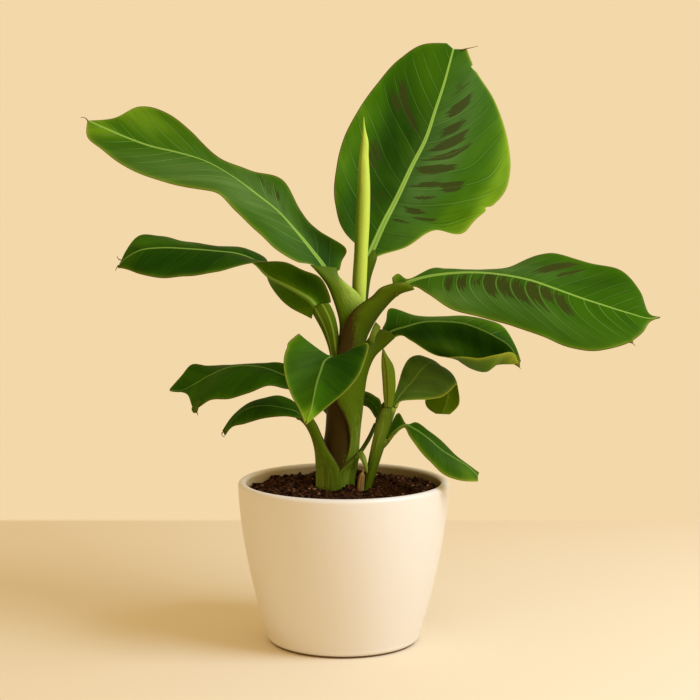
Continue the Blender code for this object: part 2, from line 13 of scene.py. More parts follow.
import bpy
import numpy as np
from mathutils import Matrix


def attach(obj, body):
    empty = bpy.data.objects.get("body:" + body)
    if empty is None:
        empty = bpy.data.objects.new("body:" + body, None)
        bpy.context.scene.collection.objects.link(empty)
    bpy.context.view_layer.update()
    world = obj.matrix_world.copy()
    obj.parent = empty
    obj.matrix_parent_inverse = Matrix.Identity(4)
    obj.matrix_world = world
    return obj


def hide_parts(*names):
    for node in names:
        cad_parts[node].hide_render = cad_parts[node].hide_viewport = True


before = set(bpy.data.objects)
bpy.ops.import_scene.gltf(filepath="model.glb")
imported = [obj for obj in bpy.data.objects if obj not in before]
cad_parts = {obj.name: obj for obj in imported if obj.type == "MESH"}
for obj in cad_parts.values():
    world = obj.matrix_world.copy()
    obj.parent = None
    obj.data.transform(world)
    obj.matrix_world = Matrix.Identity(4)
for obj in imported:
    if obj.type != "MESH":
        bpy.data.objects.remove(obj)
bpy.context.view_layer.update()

log = logging.getLogger("potted_banana_plant")

Array = np.ndarray
Point = tuple[float, float, float]
Points = tuple[Point, ...]
Colour = tuple[float, float, float]
Pair = tuple[float, float]
Values = tuple[float, ...]
Material = bpy.types.Material
Object = bpy.types.Object

MM = 0.001

# Planter: a turned bowl whose side swells towards the rim
RIM_RADIUS = 90.0
POT_HEIGHT = 138.5
BASE_RADIUS = 64.0
SWELL = 1.7
WALL = 7.0
FLOOR = 10.0
FOOT_RADIUS = 62.0
FOOT_HEIGHT = 1.5
BARE_HEIGHT = 1.7
BASE_ROUNDING = 4.0
POT_STEPS = 192
INNER_STEPS = 40
RIM_STEPS = 20
OUTER_STEPS = 60
CORNER_STEPS = 8

# Soil: heaped round the stems
SOIL_EDGE = 125.5
SOIL_HEAP = 14.0
HEAP_SPREAD = (62.0, 42.0)
HEAP_PLACE = (2.0, 18.0)
SOIL_GAP = 0.3
SOIL_STEPS = 360
SOIL_RINGS = 96
SIDE_RINGS = 12
SOIL_MIDDLE = 1.0
SOIL_RISE = 1.5
GROUND_TONE = 0.5
CLOD_SEED = 7
CRUMB_REACH = 80.5
LUMP_EDGE = (0.1, 1.1)
CRUMB_TRIM = (0.7, 1.2)
CRUMB_BREADTH = 0.8
CRUMB_RARITY = 2.2
CRUMB_LIFT = 0.25

# Stalks: the last two rings at each end lie END_RING apart, so that parts meet without a visible edge
END_RING = 0.05
END_WIDTH = 0.3
END_BULGE = 0.15
GROOVE_WIDTH = 0.5
LINE_WIDTH = 0.07
TUBE_FACING = (0.25, -0.9, 0.35)
THREAD_RADII = (0.55, 0.18)

# Leaves: the thickness, stalk, rib and side veins, then waves as (height, length over 2 pi, phase)
BLADE = 0.55
EDGE_BLADE = 0.28
EDGE_REACH = 6.0
STALK_FOLD = math.radians(50)
STALK_LAP = 5.0
RIB_SPREAD = 3.0
RIB_WIDTH_POWER = 0.8
RIB_DEPTH_POWER = 0.5
RIB_HEIGHT = 0.55
RIB_HEIGHT_POWER = 3
RIB_GROOVE = (0.45, 0.35)
VALLEY = 0.05
VALLEY_RISE = ((1.0, 12.0), (0.0, 10.0))
CROWDING = 1.15
NICK_POWER = 8
EVENING = 20.0
WAVE = 0.5
RIPPLES = ((1.0, 9.0, 1.0), (0.6, 4.3, 2.0))
WANDERS = ((1.3, 21.0, 1.0), (0.5, 9.7, 2.3))


def linear(red: int, green: int, blue: int) -> Colour:
    """Turns a screen colour into the linear colour that shaders use.

    Args:
        red, green, blue: the screen colour, each from 0 to 255.

    Returns:
        The linear colour: each part over 255, then ((part + 0.055) / 1.055) to the power 2.4.
    """
    return tuple(((part / 255 + 0.055) / 1.055) ** 2.4 for part in (red, green, blue))


def unit(vectors: Array) -> Array:
    """Vectors at length one. Args: vectors, along the last axis. Returns: each over its own length."""
    return vectors / (np.linalg.norm(vectors, axis=-1, keepdims=True) + 1e-9)


def between(ends: Pair, share: Array) -> Array:
    """A value between two. Args: both, and the share of the way. Returns: the first + their gap * share."""
    return ends[0] + (ends[1] - ends[0]) * share


def knots_of(points: Array) -> Array:
    """How far along a line its points are. Args: the points. Returns: 0, then the runs' lengths summed."""
    runs = np.linalg.norm(np.diff(np.asarray(points, float), axis=0), axis=1)
    return np.concatenate([[0.0], np.cumsum(runs)])


def guide(points: Array, knots: Array, at: Array) -> Array:
    """Places on the smooth curve through the points.

    Each stretch is a cubic that leaves a point in the mean direction of the two stretches that meet there.

    Args:
        points: the points that the curve runs through.
        knots: how far along the curve each point is.
        at: how far along the curve each wanted place is.

    Returns:
        One place a row.
    """
    points = np.asarray(points, float)
    steps = np.diff(knots)[:, None]
    runs = np.diff(points, axis=0) / steps
    lean = np.empty_like(points)
    lean[1:-1] = (runs[:-1] * steps[1:] + runs[1:] * steps[:-1]) / (steps[:-1] + steps[1:])
    lean[0] = 1.5 * runs[0] - 0.5 * lean[1]
    lean[-1] = 1.5 * runs[-1] - 0.5 * lean[-2]
    low = np.clip(np.searchsorted(knots, at, side="right") - 1, 0, len(knots) - 2)
    step = steps[low]
    t = (at - knots[low])[:, None] / step
    return (
        (1 + 2 * t) * (1 - t) ** 2 * points[low]
        + t * (1 - t) ** 2 * step * lean[low]
        + t**2 * (3 - 2 * t) * points[low + 1]
        + t**2 * (t - 1) * step * lean[low + 1]
    )


def smooth_step(low: float, high: float, value: Array) -> Array:
    """A smooth rise from 0 at low to 1 at high: 3 t squared less 2 t cubed, t being how far between them.

    Args:
        low: where the rise begins.
        high: where it ends.
        value: the values to look up.

    Returns:
        A number from 0 to 1 for each value.
    """
    t = np.clip((value - low) / (high - low), 0, 1)
    return t * t * (3 - 2 * t)


def add_waves(values: Array | float, waves: Points, at: Array, side: Array | int) -> Array:
    """Adds waves, each its height times the sine of (the place over its length + its phase times the side).

    Args:
        values: what they are added to.
        waves: the height, the length over 2 pi and the phase of each.
        at: the places.
        side: -1 on the left half and 1 on the right.

    Returns:
        The sum.
    """
    for height, length, phase in waves:
        values = values + height * np.sin(at / length + phase * side)
    return values


@dataclass
class Shell:
    """A closed part of a mesh.

    The chart is a flat place for each point, which shaders read as the map named chart, and each field is
    a number for each point, which they read as an attribute of that name.
    """

    points: Array
    quads: Array
    triangles: Array
    chart: Array
    fields: dict[str, Array] = field(default_factory=dict)
    slot: int = 0

    def facing_out(self) -> "Shell":
        """Turns the faces outwards.

        Returns:
            The shell, its faces reversed if the volume that they enclose came out negative. The volume is
            a sixth of the sum, over the triangles, of the first corner times the cross of the other two.
        """
        halves = [self.quads[:, [0, 1, 2]], self.quads[:, [0, 2, 3]], self.triangles]
        a, b, c = (self.points[np.concatenate(halves)[:, corner]] for corner in range(3))
        if np.einsum("ij,ij->", a - self.points[0], np.cross(b - self.points[0], c - self.points[0])) < 0:
            self.quads = self.quads[:, ::-1]
            self.triangles = self.triangles[:, ::-1]
        return self


def rings(count: int, columns: int) -> tuple[Array, Array, Array]:
    """The quads between closed rings of points.

    Args:
        count: how many rings there are.
        columns: how many points each has.

    Returns:
        The number of each point, a ring a row, the number of the next one in its ring, and the quads.
    """
    index = np.arange(count * columns).reshape(count, columns)
    onward = np.roll(index, -1, axis=1)
    return index, onward, np.stack([index[:-1], onward[:-1], onward[1:], index[1:]], axis=-1).reshape(-1, 4)


def with_ends(values: Array) -> Array:
    """Adds the means of the first and last ring. Args: values, a ring a row. Returns: all, point by point."""
    flat = values.reshape(-1, *values.shape[2:])
    return np.concatenate([flat, values[:1].mean(axis=1), values[-1:].mean(axis=1)])


def loft(rows: Array, chart: Array, fields: dict[str, Array], slot: int = 0) -> Shell:
    """A closed skin over rings of points, with a fan of triangles over each end.

    Args:
        rows: rings of points, one ring a row.
        chart: the flat place of each point.
        fields: the fields' values at each point.
        slot: which of the piece's materials it wears.

    Returns:
        The shell.
    """
    index, onward, quads = rings(*rows.shape[:2])
    ends = ((onward[0], index[0]), (index[-1], onward[-1]))
    fans = [
        np.stack([*pair, np.full(index.shape[1], index.size + end)], axis=-1) for end, pair in enumerate(ends)
    ]
    values = {name: with_ends(kept) for name, kept in fields.items()}
    return Shell(with_ends(rows), quads, np.concatenate(fans), with_ends(chart), values, slot).facing_out()


def make_piece(name: str, shells: list[Shell], materials: list[Material]) -> Object:
    """Makes one object of several shells.

    Args:
        name: the object's name.
        shells: the closed parts of its mesh.
        materials: its materials, which the shells' slots count from nought.

    Returns:
        The object, with the map chart and an attribute for every field. Quads are smooth, triangles flat.
    """
    starts = np.cumsum([0] + [len(shell.points) for shell in shells])
    faces, slots, smooth = [], [], []
    for start, shell in zip(starts, shells):
        faces += (shell.quads + start).tolist() + (shell.triangles + start).tolist()
        slots += [shell.slot] * (len(shell.quads) + len(shell.triangles))
        smooth += [True] * len(shell.quads) + [False] * len(shell.triangles)
    mesh = bpy.data.meshes.new(name)
    mesh.from_pydata((np.concatenate([shell.points for shell in shells]) * MM).tolist(), [], faces)
    corner = np.empty(len(mesh.loops), dtype=np.int32)
    mesh.loops.foreach_get("vertex_index", corner)
    chart = mesh.uv_layers.new(name="chart")
    places = np.concatenate([shell.chart for shell in shells])[corner]
    chart.data.foreach_set("uv", places.astype(np.float32).ravel())
    for label in sorted({label for shell in shells for label in shell.fields}):
        values = [shell.fields.get(label, np.zeros(len(shell.points))) for shell in shells]
        made = mesh.attributes.new(label, "FLOAT", "POINT")
        made.data.foreach_set("value", np.concatenate(values).astype(np.float32))
    for material in materials:
        mesh.materials.append(material)
    mesh.polygons.foreach_set("material_index", np.array(slots, dtype=np.int32))
    mesh.polygons.foreach_set("use_smooth", np.array(smooth))
    mesh.update()
    piece = bpy.data.objects.new(name, mesh)
    bpy.context.scene.collection.objects.link(piece)
    log.info("%s: %d faces", name, len(faces))
    return piece


def arithmetic(name: str, swapped: bool = False) -> Callable[["Signal", "Operand"], "Signal"]:
    """Makes an operator of Signal.

    Args:
        name: the Math node's operation.
        swapped: whether the signal is the second operand, as in 1.0 - signal.

    Returns:
        The operator, which adds the node and gives its result.
    """

    def run(self: "Signal", other: "Operand") -> "Signal":
        """Adds the node. Args: other is the second operand. Returns: the result."""
        return self.graph.math(name, *((other, self) if swapped else (self, other)))

    return run


class Signal:
    """A socket of a shader that can be reckoned with: each operation adds one Math node."""

    def __init__(self, graph: "Graph", socket: bpy.types.NodeSocket) -> None:
        """Args: graph is the shader's graph, socket the output that carries the number."""
        self.graph = graph
        self.socket = socket

    __add__, __radd__ = arithmetic("ADD"), arithmetic("ADD", swapped=True)
    __sub__, __rsub__ = arithmetic("SUBTRACT"), arithmetic("SUBTRACT", swapped=True)
    __mul__, __rmul__ = arithmetic("MULTIPLY"), arithmetic("MULTIPLY", swapped=True)
    __truediv__, __rtruediv__ = arithmetic("DIVIDE"), arithmetic("DIVIDE", swapped=True)
    __pow__, __rpow__ = arithmetic("POWER"), arithmetic("POWER", swapped=True)

    def __neg__(self) -> "Signal":
        return self * -1.0

    def __abs__(self) -> "Signal":
        return self.graph.math("ABSOLUTE", self)

    def floor(self) -> "Signal":
        """The whole number below. Returns: the signal."""
        return self.graph.math("FLOOR", self)

    def fall(self, reach: float) -> "Signal":
        """A fall from 1 at nought. Args: where it is down to 1/e. Returns: exp(-self / reach)."""
        return self.graph.math("EXPONENT", self * (-1.0 / reach))

    def rise(self, low: float, high: float) -> "Signal":
        """A smooth rise. Args: where it begins and ends. Returns: 0 below, 1 above, a smooth step between."""
        settings = {"interpolation_type": "SMOOTHSTEP"}
        inputs = {"Value": self, "From Min": low, "From Max": high}
        return self.graph.node("ShaderNodeMapRange", settings, inputs, "Result")


Operand = Signal | float


class Graph:
    """The shader of one material, built node by node."""

    def __init__(self, name: str) -> None:
        """Args: name is the material's name."""
        self.material = bpy.data.materials.new(name)
        self.material.use_nodes = True
        self.tree = self.material.node_tree
        self.tree.nodes.clear()

    def node(self, kind: str, settings: dict, inputs: dict, output: str | int = 0) -> Signal:
        """Adds a node.

        Args:
            kind: the node's type.
            settings: its properties, which are set first.
            inputs: what each input gets, by its name or number: a signal or a constant.
            output: the output wanted, by its name or number.

        Returns:
            That output.
        """
        made = self.tree.nodes.new(kind)
        for label, value in settings.items():
            setattr(made, label, value)
        for label, value in inputs.items():
            if isinstance(value, Signal):
                self.tree.links.new(value.socket, made.inputs[label])
            elif isinstance(value, tuple) and made.inputs[label].type == "RGBA":
                made.inputs[label].default_value = (*value, 1.0)
            else:
                made.inputs[label].default_value = value
        return Signal(self, made.outputs[output] if made.outputs else None)

    def math(self, operation: str, *operands: Operand) -> Signal:
        """A Math node. Args: its operation and operands. Returns: its result."""
        return self.node("ShaderNodeMath", {"operation": operation}, dict(enumerate(operands)))

    def mix(self, factor: Operand, first: "Signal | Colour", second: "Signal | Colour") -> Signal:
        """A mix of two colours. Args: the share of the second, and the colours. Returns: the colour."""
        settings = {"data_type": "RGBA"}
        return self.node("ShaderNodeMix", settings, {0: factor, 6: first, 7: second}, 2)

    def field(self, name: str) -> Signal:
        """A field of the mesh. Args: its name. Returns: its value."""
        return self.node("ShaderNodeAttribute", {"attribute_name": name}, {}, "Fac")

    def split(self, vector: Signal) -> tuple[Signal, Signal]:
        """A vector's parts. Args: the vector. Returns: the first two."""
        apart = self.node("ShaderNodeSeparateXYZ", {}, {0: vector})
        return apart, Signal(self, apart.socket.node.outputs[1])

    def chart(self) -> tuple[Signal, Signal]:
        """The piece's own flat map. Returns: its two coordinates in mm."""
        return self.split(self.node("ShaderNodeUVMap", {"uv_map": "chart"}, {}))

    def place(self) -> Signal:
        """The place on the piece in metres. Returns: the vector."""
        return self.node("ShaderNodeTexCoord", {}, {}, "Object")

    def vector(self, x: Operand, y: Operand, z: Operand) -> Signal:
        """A vector of three numbers. Args: its parts. Returns: the vector."""
        return self.node("ShaderNodeCombineXYZ", {}, {0: x, 1: y, 2: z})

    def noise(self, where: Signal, scale: float, detail: float = 2.0) -> Signal:
        """Cloudy noise. Args: the place, the noise's scale and detail. Returns: about 0 to 1."""
        return self.node("ShaderNodeTexNoise", {}, {"Vector": where, "Scale": scale, "Detail": detail})

    def bump(self, height: Signal, strength: float, distance: float) -> Signal:
        """Small relief. Args: its height, strength and depth in mm. Returns: the normal."""
        inputs = {"Strength": strength, "Distance": distance * MM, "Height": height}
        return self.node("ShaderNodeBump", {}, inputs)

    def surface(
        self, colour: Signal, rough: Operand, normal: Signal, constants: dict[str, float]
    ) -> Material:
        """Ends the shader with a Principled surface.

        Args:
            colour: its colour.
            rough: its roughness.
            normal: its normal.
            constants: its other inputs by name.

        Returns:
            The material.
        """
        inputs = {"Base Color": colour, "Roughness": rough, "Normal": normal, **constants}
        shader = self.node("ShaderNodeBsdfPrincipled", {}, inputs)
        self.node("ShaderNodeOutputMaterial", {}, {"Surface": shader})
        return self.material


@dataclass(frozen=True)
class LeafFinish:
    """How a leaf looks: its greens from shade to light, and those of its margin, rib, veins and marks, and of
    its grey waxy bloom, which also stands in for painted sheen.

    The gap is how far apart its side veins are.
    """

    name: str
    gap: float
    deep: Colour = linear(24, 54, 1)
    middle: Colour = linear(55, 94, 3)
    bright: Colour = linear(114, 150, 26)
    margin: Colour = linear(164, 176, 56)
    rim: Colour = linear(84, 64, 20)
    rib: Colour = linear(150, 184, 78)
    vein: Colour = linear(118, 152, 70)
    blotch: Colour = linear(52, 54, 18)
    # A grey waxy bloom, partly the leaf's own and partly painted sheen in place of a glossy highlight.
    bloom: Colour = linear(96, 124, 70)
    under: Colour = linear(100, 132, 5)
    dry: Colour = linear(96, 62, 28)
    rough: float = 0.42
    specular: float = 0.015

    def build(self) -> Material:
        """Builds the leaf's material.

        The chart holds how far along the rib a place's side vein starts and how far it is from the rib, so
        a side vein is a line where the first is a whole multiple of the gap between veins.

        Returns:
            The material.
        """
        g = Graph(self.name)
        q, d = g.chart()
        edge, rib, under = map(g.field, ("edge", "rib", "under"))
        light, blotch, bloom = map(g.field, ("light", "blotch", "bloom"))
        side = d.rise(-0.01, 0.01)
        phase = q / self.gap
        away = (0.5 - abs(phase - phase.floor() - 0.5)) * self.gap
        panel = g.node("ShaderNodeTexWhiteNoise", {}, {0: g.vector(phase.floor(), side, 0.0)})
        chosen = g.node("ShaderNodeTexWhiteNoise", {}, {0: g.vector((phase + 0.5).floor(), side, 5.0)})
        fine = g.noise(g.vector(q * 1.0, d * 0.035, under), 1.1, 3.0)
        streak = g.noise(g.vector(q * 0.7, d * 0.07, 3.0), 1.0, 5.0)
        cloud = g.noise(g.vector(q * 0.05, d * 0.05, 7.0), 1.0)
        # Tone: the light marks and the leaf's tone, added here, are partly its own greens and partly painted
        # light and shade.
        tone = 0.36 + light + (panel - 0.5) * 0.14 + (fine - 0.5) * 0.26 + (cloud - 0.5) * 0.3
        tone = tone + edge.fall(5.0) * 0.16
        colour = g.mix(tone.rise(-0.1, 0.55), self.deep, self.middle)
        colour = g.mix(tone.rise(0.45, 1.1), colour, self.bright)
        # Bloom: a grey waxy bloom of the leaf's own that also stands in for painted sheen where the leaf
        # catches the light.
        colour = g.mix(bloom * (0.5 + (cloud - 0.5) * 0.8), colour, self.bloom)
        line = (1.0 - away.rise(0.1, 0.7)) * edge.rise(2.0, 16.0) * (0.45 + chosen * 0.55)
        line = line * g.field("veins")
        colour = g.mix(line * tone.rise(-0.3, 0.7) * 0.75, colour, self.vein)
        # Painted shade: a darker band along both sides of each side vein, where the relief of the valleys
        # would shade the blade.
        vein_painted_shadow = (1.0 - away.rise(0.6, 2.4)) * away.rise(0.3, 0.8)
        colour = g.mix(vein_painted_shadow * 0.22, colour, self.deep)
        ragged = blotch + (streak - 0.5) * 1.7 + (panel - 0.5) * 0.35
        mark = ragged.rise(0.4, 0.56) * blotch.rise(0.02, 0.25) * (1.0 - line * 0.8)
        colour = g.mix(mark * 0.85, colour, self.blotch)
        below = g.mix(tone.rise(-0.9, -0.1), self.deep, self.middle)
        below = g.mix(tone.rise(-0.1, 0.6), below, self.under)
        colour = g.mix(under * 0.85, colour, below)
        colour = g.mix(edge.fall(1.1) * g.field("margined"), colour, self.margin)
        ridge = 1.0 - abs(rib).rise(0.7, 1.1)
        groove = (1.0 - abs(rib).rise(0.05, 0.35)) * ridge
        colour = g.mix(ridge * g.field("ribbing"), colour, self.rib)
        colour = g.mix(groove * 0.4, colour, self.middle)
        colour = g.mix((1.0 - edge.rise(0.25, 0.75)) * g.field("rimmed"), colour, self.rim)
        colour = g.mix(g.field("dry"), colour, self.dry)
        height = fine * 0.6 - line * 0.7 + streak * 0.3
        rough = self.rough + (fine - 0.5) * 0.2 + bloom * 0.1
        return g.surface(colour, rough, g.bump(height, 0.5, 0.2), {"Specular IOR Level": self.specular})


@dataclass(frozen=True)
class StemFinish:
    """How sheaths and stalks look: olive green, paler where young, dark maroon brown where old, and in places
    a darker green that is partly painted shade.
    """

    name: str = "stem"
    green: Colour = linear(80, 102, 8)
    pale: Colour = linear(158, 180, 70)
    maroon: Colour = linear(56, 36, 12)
    shade: Colour = linear(48, 64, 3)
    rim: Colour = linear(70, 44, 20)
    dry: Colour = linear(104, 74, 36)
    husk: Colour = linear(176, 140, 84)
    rough: float = 0.42
    specular: float = 0.04

    def build(self) -> Material:
        """Builds the stem: stripes, a darker green that is partly painted shade, and a thin brown margin on
        each sheath. Returns: the material.
        """
        g = Graph(self.name)
        x, y = g.chart()
        along, edge, pale, maroon = map(g.field, ("along", "edge", "pale", "maroon"))
        stripe = g.noise(g.vector(x * 0.9, y * 0.9, along * 0.03), 1.0, 3.0)
        broad = g.noise(g.vector(x * 0.25, y * 0.25, along * 0.02), 1.0)
        speck = g.noise(g.vector(x, y, along * 0.35), 1.3, 4.0)
        young = (pale + (stripe - 0.5) * 0.6 + (broad - 0.5) * 0.5).rise(-0.1, 1.1)
        colour = g.mix(young, self.green, self.pale)
        colour = g.mix((0.5 - stripe).rise(0.0, 0.25) * 0.3, colour, self.shade)
        # Painted shade: where the pale field is below nought the stalk darkens towards the shade green,
        # partly its own darker green and partly painted shade.
        colour = g.mix((-pale).rise(0.15, 0.9) * 0.8, colour, self.shade)
        old = (maroon + (speck - 0.5) * 0.9 + (broad - 0.5) * 0.6).rise(0.3, 0.8)
        colour = g.mix(old * 0.93, colour, self.maroon)
        colour = g.mix(g.field("line") * (1.0 - old) * 0.6, colour, self.pale)
        colour = g.mix((1.0 - edge.rise(0.05, 0.35)) * g.field("rimmed"), colour, self.rim)
        husk = g.mix((stripe + speck * 0.5).rise(0.55, 0.95), self.dry, self.husk)
        colour = g.mix(g.field("dry") * (0.72 + (speck - 0.5) * 1.2).rise(0.3, 0.6), colour, husk)
        rough = self.rough + (stripe - 0.5) * 0.25
        normal = g.bump(stripe + speck * 0.3, 0.25, 0.3)
        return g.surface(colour, rough, normal, {"Specular IOR Level": self.specular})


@dataclass(frozen=True)
class GlazeFinish:
    """How the planter looks: a smooth satin cream glaze, with painted light and shade on its inner wall."""

    name: str = "glaze"
    cream: Colour = (0.80, 0.74, 0.65)
    warm: Colour = (0.77, 0.70, 0.59)
    # Painted light and shade of the inner wall: inner is its painted shade, on the right, and the next its
    # painted light, on the left.
    inner: Colour = (0.22, 0.15, 0.04)
    inner_painted_light: Colour = (0.84, 0.66, 0.36)
    foot: Colour = linear(120, 88, 50)
    rough: float = 0.38
    coat: float = 0.12
    coat_rough: float = 0.3

    def build(self) -> Material:
        """Builds the glaze: faint clouds of warmer cream, orange peel, a bare foot, and painted light and
        shade on the inner wall. Returns: the material.
        """
        g = Graph(self.name)
        where = g.place()
        cloud, grain = g.noise(where, 9.0, 3.0), g.noise(where, 900.0)
        colour = g.mix((cloud - 0.35) * 0.5, self.cream, self.warm)
        # Painted light and shade inside: the inner wall is lighter on the left and darker on the right, as if
        # lit from the right.
        inner = g.mix(g.field("shaded"), self.inner_painted_light, self.inner)
        colour = g.mix(g.field("inside"), colour, inner)
        colour = g.mix(g.field("bare"), colour, self.foot)
        height = grain * 0.4 + g.noise(where, 60.0) * 0.6
        rough = self.rough + (cloud - 0.5) * 0.1
        coat = {"Coat Weight": self.coat, "Coat Roughness": self.coat_rough}
        return g.surface(colour, rough, g.bump(height, 0.12, 0.3), coat)


@dataclass(frozen=True)
class SoilFinish:
    """How the soil looks: dark brown, red brown where it catches the light, and rough."""

    name: str = "soil"
    dark: Colour = linear(22, 9, 1)
    brown: Colour = linear(84, 48, 24)
    light: Colour = linear(176, 130, 88)
    rough: float = 0.82
    specular: float = 0.05

    def build(self) -> Material:
        """Builds the soil: each crumb's own tone, under noise of two sizes. Returns: the material."""
        g = Graph(self.name)
        where = g.place()
        lumps, dust = g.noise(where, 260.0, 5.0), g.noise(where, 1500.0)
        tone = g.field("tone") + (lumps - 0.5) * 1.1 + (dust - 0.5) * 0.5
        colour = g.mix(tone.rise(0.2, 0.9), self.dark, self.brown)
        colour = g.mix(tone.rise(0.75, 1.25), colour, self.light)
        rough = self.rough + (dust - 0.5) * 0.3
        normal = g.bump(lumps + dust * 0.4, 1.0, 1.0)
        return g.surface(colour, rough, normal, {"Specular IOR Level": self.specular})


@dataclass(frozen=True)
class RolledFinish:
    """How a leaf that is still rolled up looks: pale yellow green with fine stripes and a darker lap, and a
    second colour towards its left side, partly its own and partly painted shade.
    """

    name: str
    pale: Colour
    green: Colour
    seam: Colour
    lap: float
    seam_share: float = 0.3
    rough: float = 0.42
    specular: float = 0.06

    def build(self) -> Material:
        """Builds the rolled leaf: painted light and shade as if lit from the right, and darker beyond its
        lap. Returns: the material.
        """
        g = Graph(self.name)
        x, y = g.chart()
        along = g.field("along")
        stripe = g.noise(g.vector(x * 0.8, y * 0.8, along * 0.02), 1.2, 3.0)
        turn = abs(g.math("ARCTAN2", y, x))
        # Painted shade: the left side takes the second colour, less so near the tip, as if lit from the
        # right; beyond the lap the leaf is darker of its own.
        shade = (0.0 - x).rise(-4.5, 4.0) * (0.7 - along.rise(90.0, 150.0) * 0.4)
        shade = shade + (turn - self.lap).rise(0.0, 0.35) * 0.35
        colour = g.mix(shade + (stripe - 0.5) * 0.5, self.pale, self.green)
        seam = 1.0 - abs(turn - self.lap).rise(0.0, 0.16)
        colour = g.mix(seam * self.seam_share, colour, self.seam)
        normal = g.bump(stripe, 0.4, 0.25)
        return g.surface(colour, self.rough, normal, {"Specular IOR Level": self.specular})


class Tint(Enum):
    """The kinds of mark that a leaf can carry, each a field of its mesh and of its form. Light marks are
    partly the leaf's own tone and partly painted light and shade; bloom marks are a grey waxy bloom that also
    stands in for painted sheen.
    """

    LIGHT = "light"
    BLOTCH = "blotch"
    BLOOM = "bloom"

    @property
    def power(self) -> int:
        """How sharply a mark ends along the leaf: a blotch ends at a side vein. Returns: the power."""
        return 6 if self is Tint.BLOTCH else 2


@dataclass(frozen=True)
class Patch:
    """A soft mark on a blade, placed in the chart: where its side vein starts, and how far from the rib."""

    start: float
    across: float
    length: float
    width: float
    amount: float

    def value(self, q: Array, d: Array, power: int) -> Array:
        """The mark's strength, exp(-(q distance / width) to the power - (d distance / length) squared).

        Args:
            q: where each place's side vein starts along the rib.
            d: how far each place is from the rib, below nought on the left.
            power: how sharply the mark ends along the leaf.

        Returns:
            The strength at each place.
        """
        along, out = np.abs((q - self.start) / self.width), (d - self.across) / self.length
        return self.amount * np.exp(-(along**power) - out**2)


@dataclass(frozen=True)
class Nick:
    """A dent in a margin: on the left (-1) or right (1), how far along the rib, how deep and how wide."""

    side: int
    at: float
    depth: float
    width: float

    def dent(self, at: Array) -> Array:
        """Its depth, times exp(-(distance / width) squared). Args: the places. Returns: the depth there."""
        return self.depth * np.exp(-(((at - self.at) / self.width) ** 2))


@dataclass(frozen=True)
class Strap:
    """A stalk or sheath between two side lines: oval across, with its own bulge in front and behind.

    Its numbers are given for each point of the side lines. The bulge behind is that in front unless it is
    given. The part up to the join belongs to the stem, and the rest to the leaf that it carries. The sides
    are the points of a ring, and the spacing is the distance between rings.
    """

    left: Points
    right: Points
    front: Values
    back: Values = ()
    pale: Values = (0.0,)
    maroon: Values = (0.0,)
    pale_and_painted_light_slant: Values = (0.0,)
    maroon_slant: float = 0.0
    groove: float = 0.0
    lip: float = 0.0
    lap: float = 2.1
    lines: Values = ()
    taper: float = 0.0
    rimmed: float = 1.0
    dry: float = 0.0
    join: float = 1.0
    sides: int = 40
    spacing: float = 1.6

    def shell(self, first: float = 0.0, last: float = 1.0, slot: int = 0) -> Shell:
        """Builds the strap between two shares of its length.

        A ring's points are the middle, plus the cosine of the turn times half the width, plus its sine
        times the bulge along the face's normal. A groove lowers the middle of the front, and a lip makes
        the ring a turn of a spiral that starts at the lap, as where a rolled leaf's margin lies on the
        rest. A slant adds to a mark on the right and takes as much off it on the left; the pale slant makes
        one side paler and the other darker, partly the stalk's own colour and partly painted light and shade.
        Lines are the cosines where pale lines run along the front, and a taper thins that length of the far
        end.

        Args:
            first: the share of the length where it begins.
            last: the share where it ends.
            slot: which of the piece's materials it wears.

        Returns:
            The shell.
        """
        left, right = np.asarray(self.left, float), np.asarray(self.right, float)
        spine = (left + right) / 2
        knots = knots_of(spine)
        length = knots[-1]
        at = np.linspace(first * length, last * length, max(3, int((last - first) * length / self.spacing)))
        at = np.concatenate([at[:1], at[:1] + END_RING, at[1:-1], at[-1:] - END_RING, at[-1:]])
        one, other = guide(left, knots, at), guide(right, knots, at)
        middle, half = (one + other) / 2, (other - one) / 2
        ahead, behind = (guide(spine, knots, np.clip(at + step, 0, length)) for step in (1, -1))
        facing = unit(np.cross(half, unit(ahead - behind)))
        thin = smooth_step(0, self.taper, length - at) if self.taper else np.ones(len(at))
        half = half * between((END_WIDTH, 1), thin)[:, None]
        turn = np.linspace(0, 2 * math.pi, self.sides, endpoint=False)
        cosine, sine = np.cos(turn), np.sin(turn)

        def marked(values: Values) -> Array:
            """A column of values along the strap. Args: one, or as many as points. Returns: the column."""
            return np.interp(at, knots, np.broadcast_to(np.asarray(values, float), len(knots)))[:, None]

        bulge = between((END_BULGE, 1), thin)[:, None]
        front, back = marked(self.front) * bulge, marked(self.back or self.front) * bulge
        dip = 1 - self.groove * np.exp(-((cosine / GROOVE_WIDTH) ** 2))
        out = np.where(sine > 0, front * sine * dip, back * sine)
        size = 1 + self.lip * (((turn - self.lap) / (2 * math.pi)) % 1 - 0.5)
        rows = middle[:, None] + (cosine * size)[:, None] * half[:, None]
        rows = rows + (out * size)[..., None] * facing[:, None]
        reach = np.linalg.norm(half, axis=1)[:, None]
        drawn = [np.exp(-(((cosine - line) / LINE_WIDTH) ** 2)) * (sine > 0) for line in self.lines]
        shape = (len(at), self.sides)
        fields = {
            "along": np.broadcast_to(at[:, None], shape),
            "edge": (1 - abs(cosine)) * reach,
            # The pale field: paler where young; below nought, and across the slant, partly painted light and
            # shade.
            "pale": marked(self.pale) + marked(self.pale_and_painted_light_slant) * cosine,
            "maroon": marked(self.maroon) + self.maroon_slant * cosine,
            "rimmed": np.full(shape, self.rimmed),
            "dry": np.full(shape, self.dry),
            "line": np.broadcast_to(np.maximum.reduce([np.zeros_like(cosine), *drawn]), shape),
        }
        return loft(rows, np.stack([cosine * reach, sine * reach], axis=-1), fields, slot)


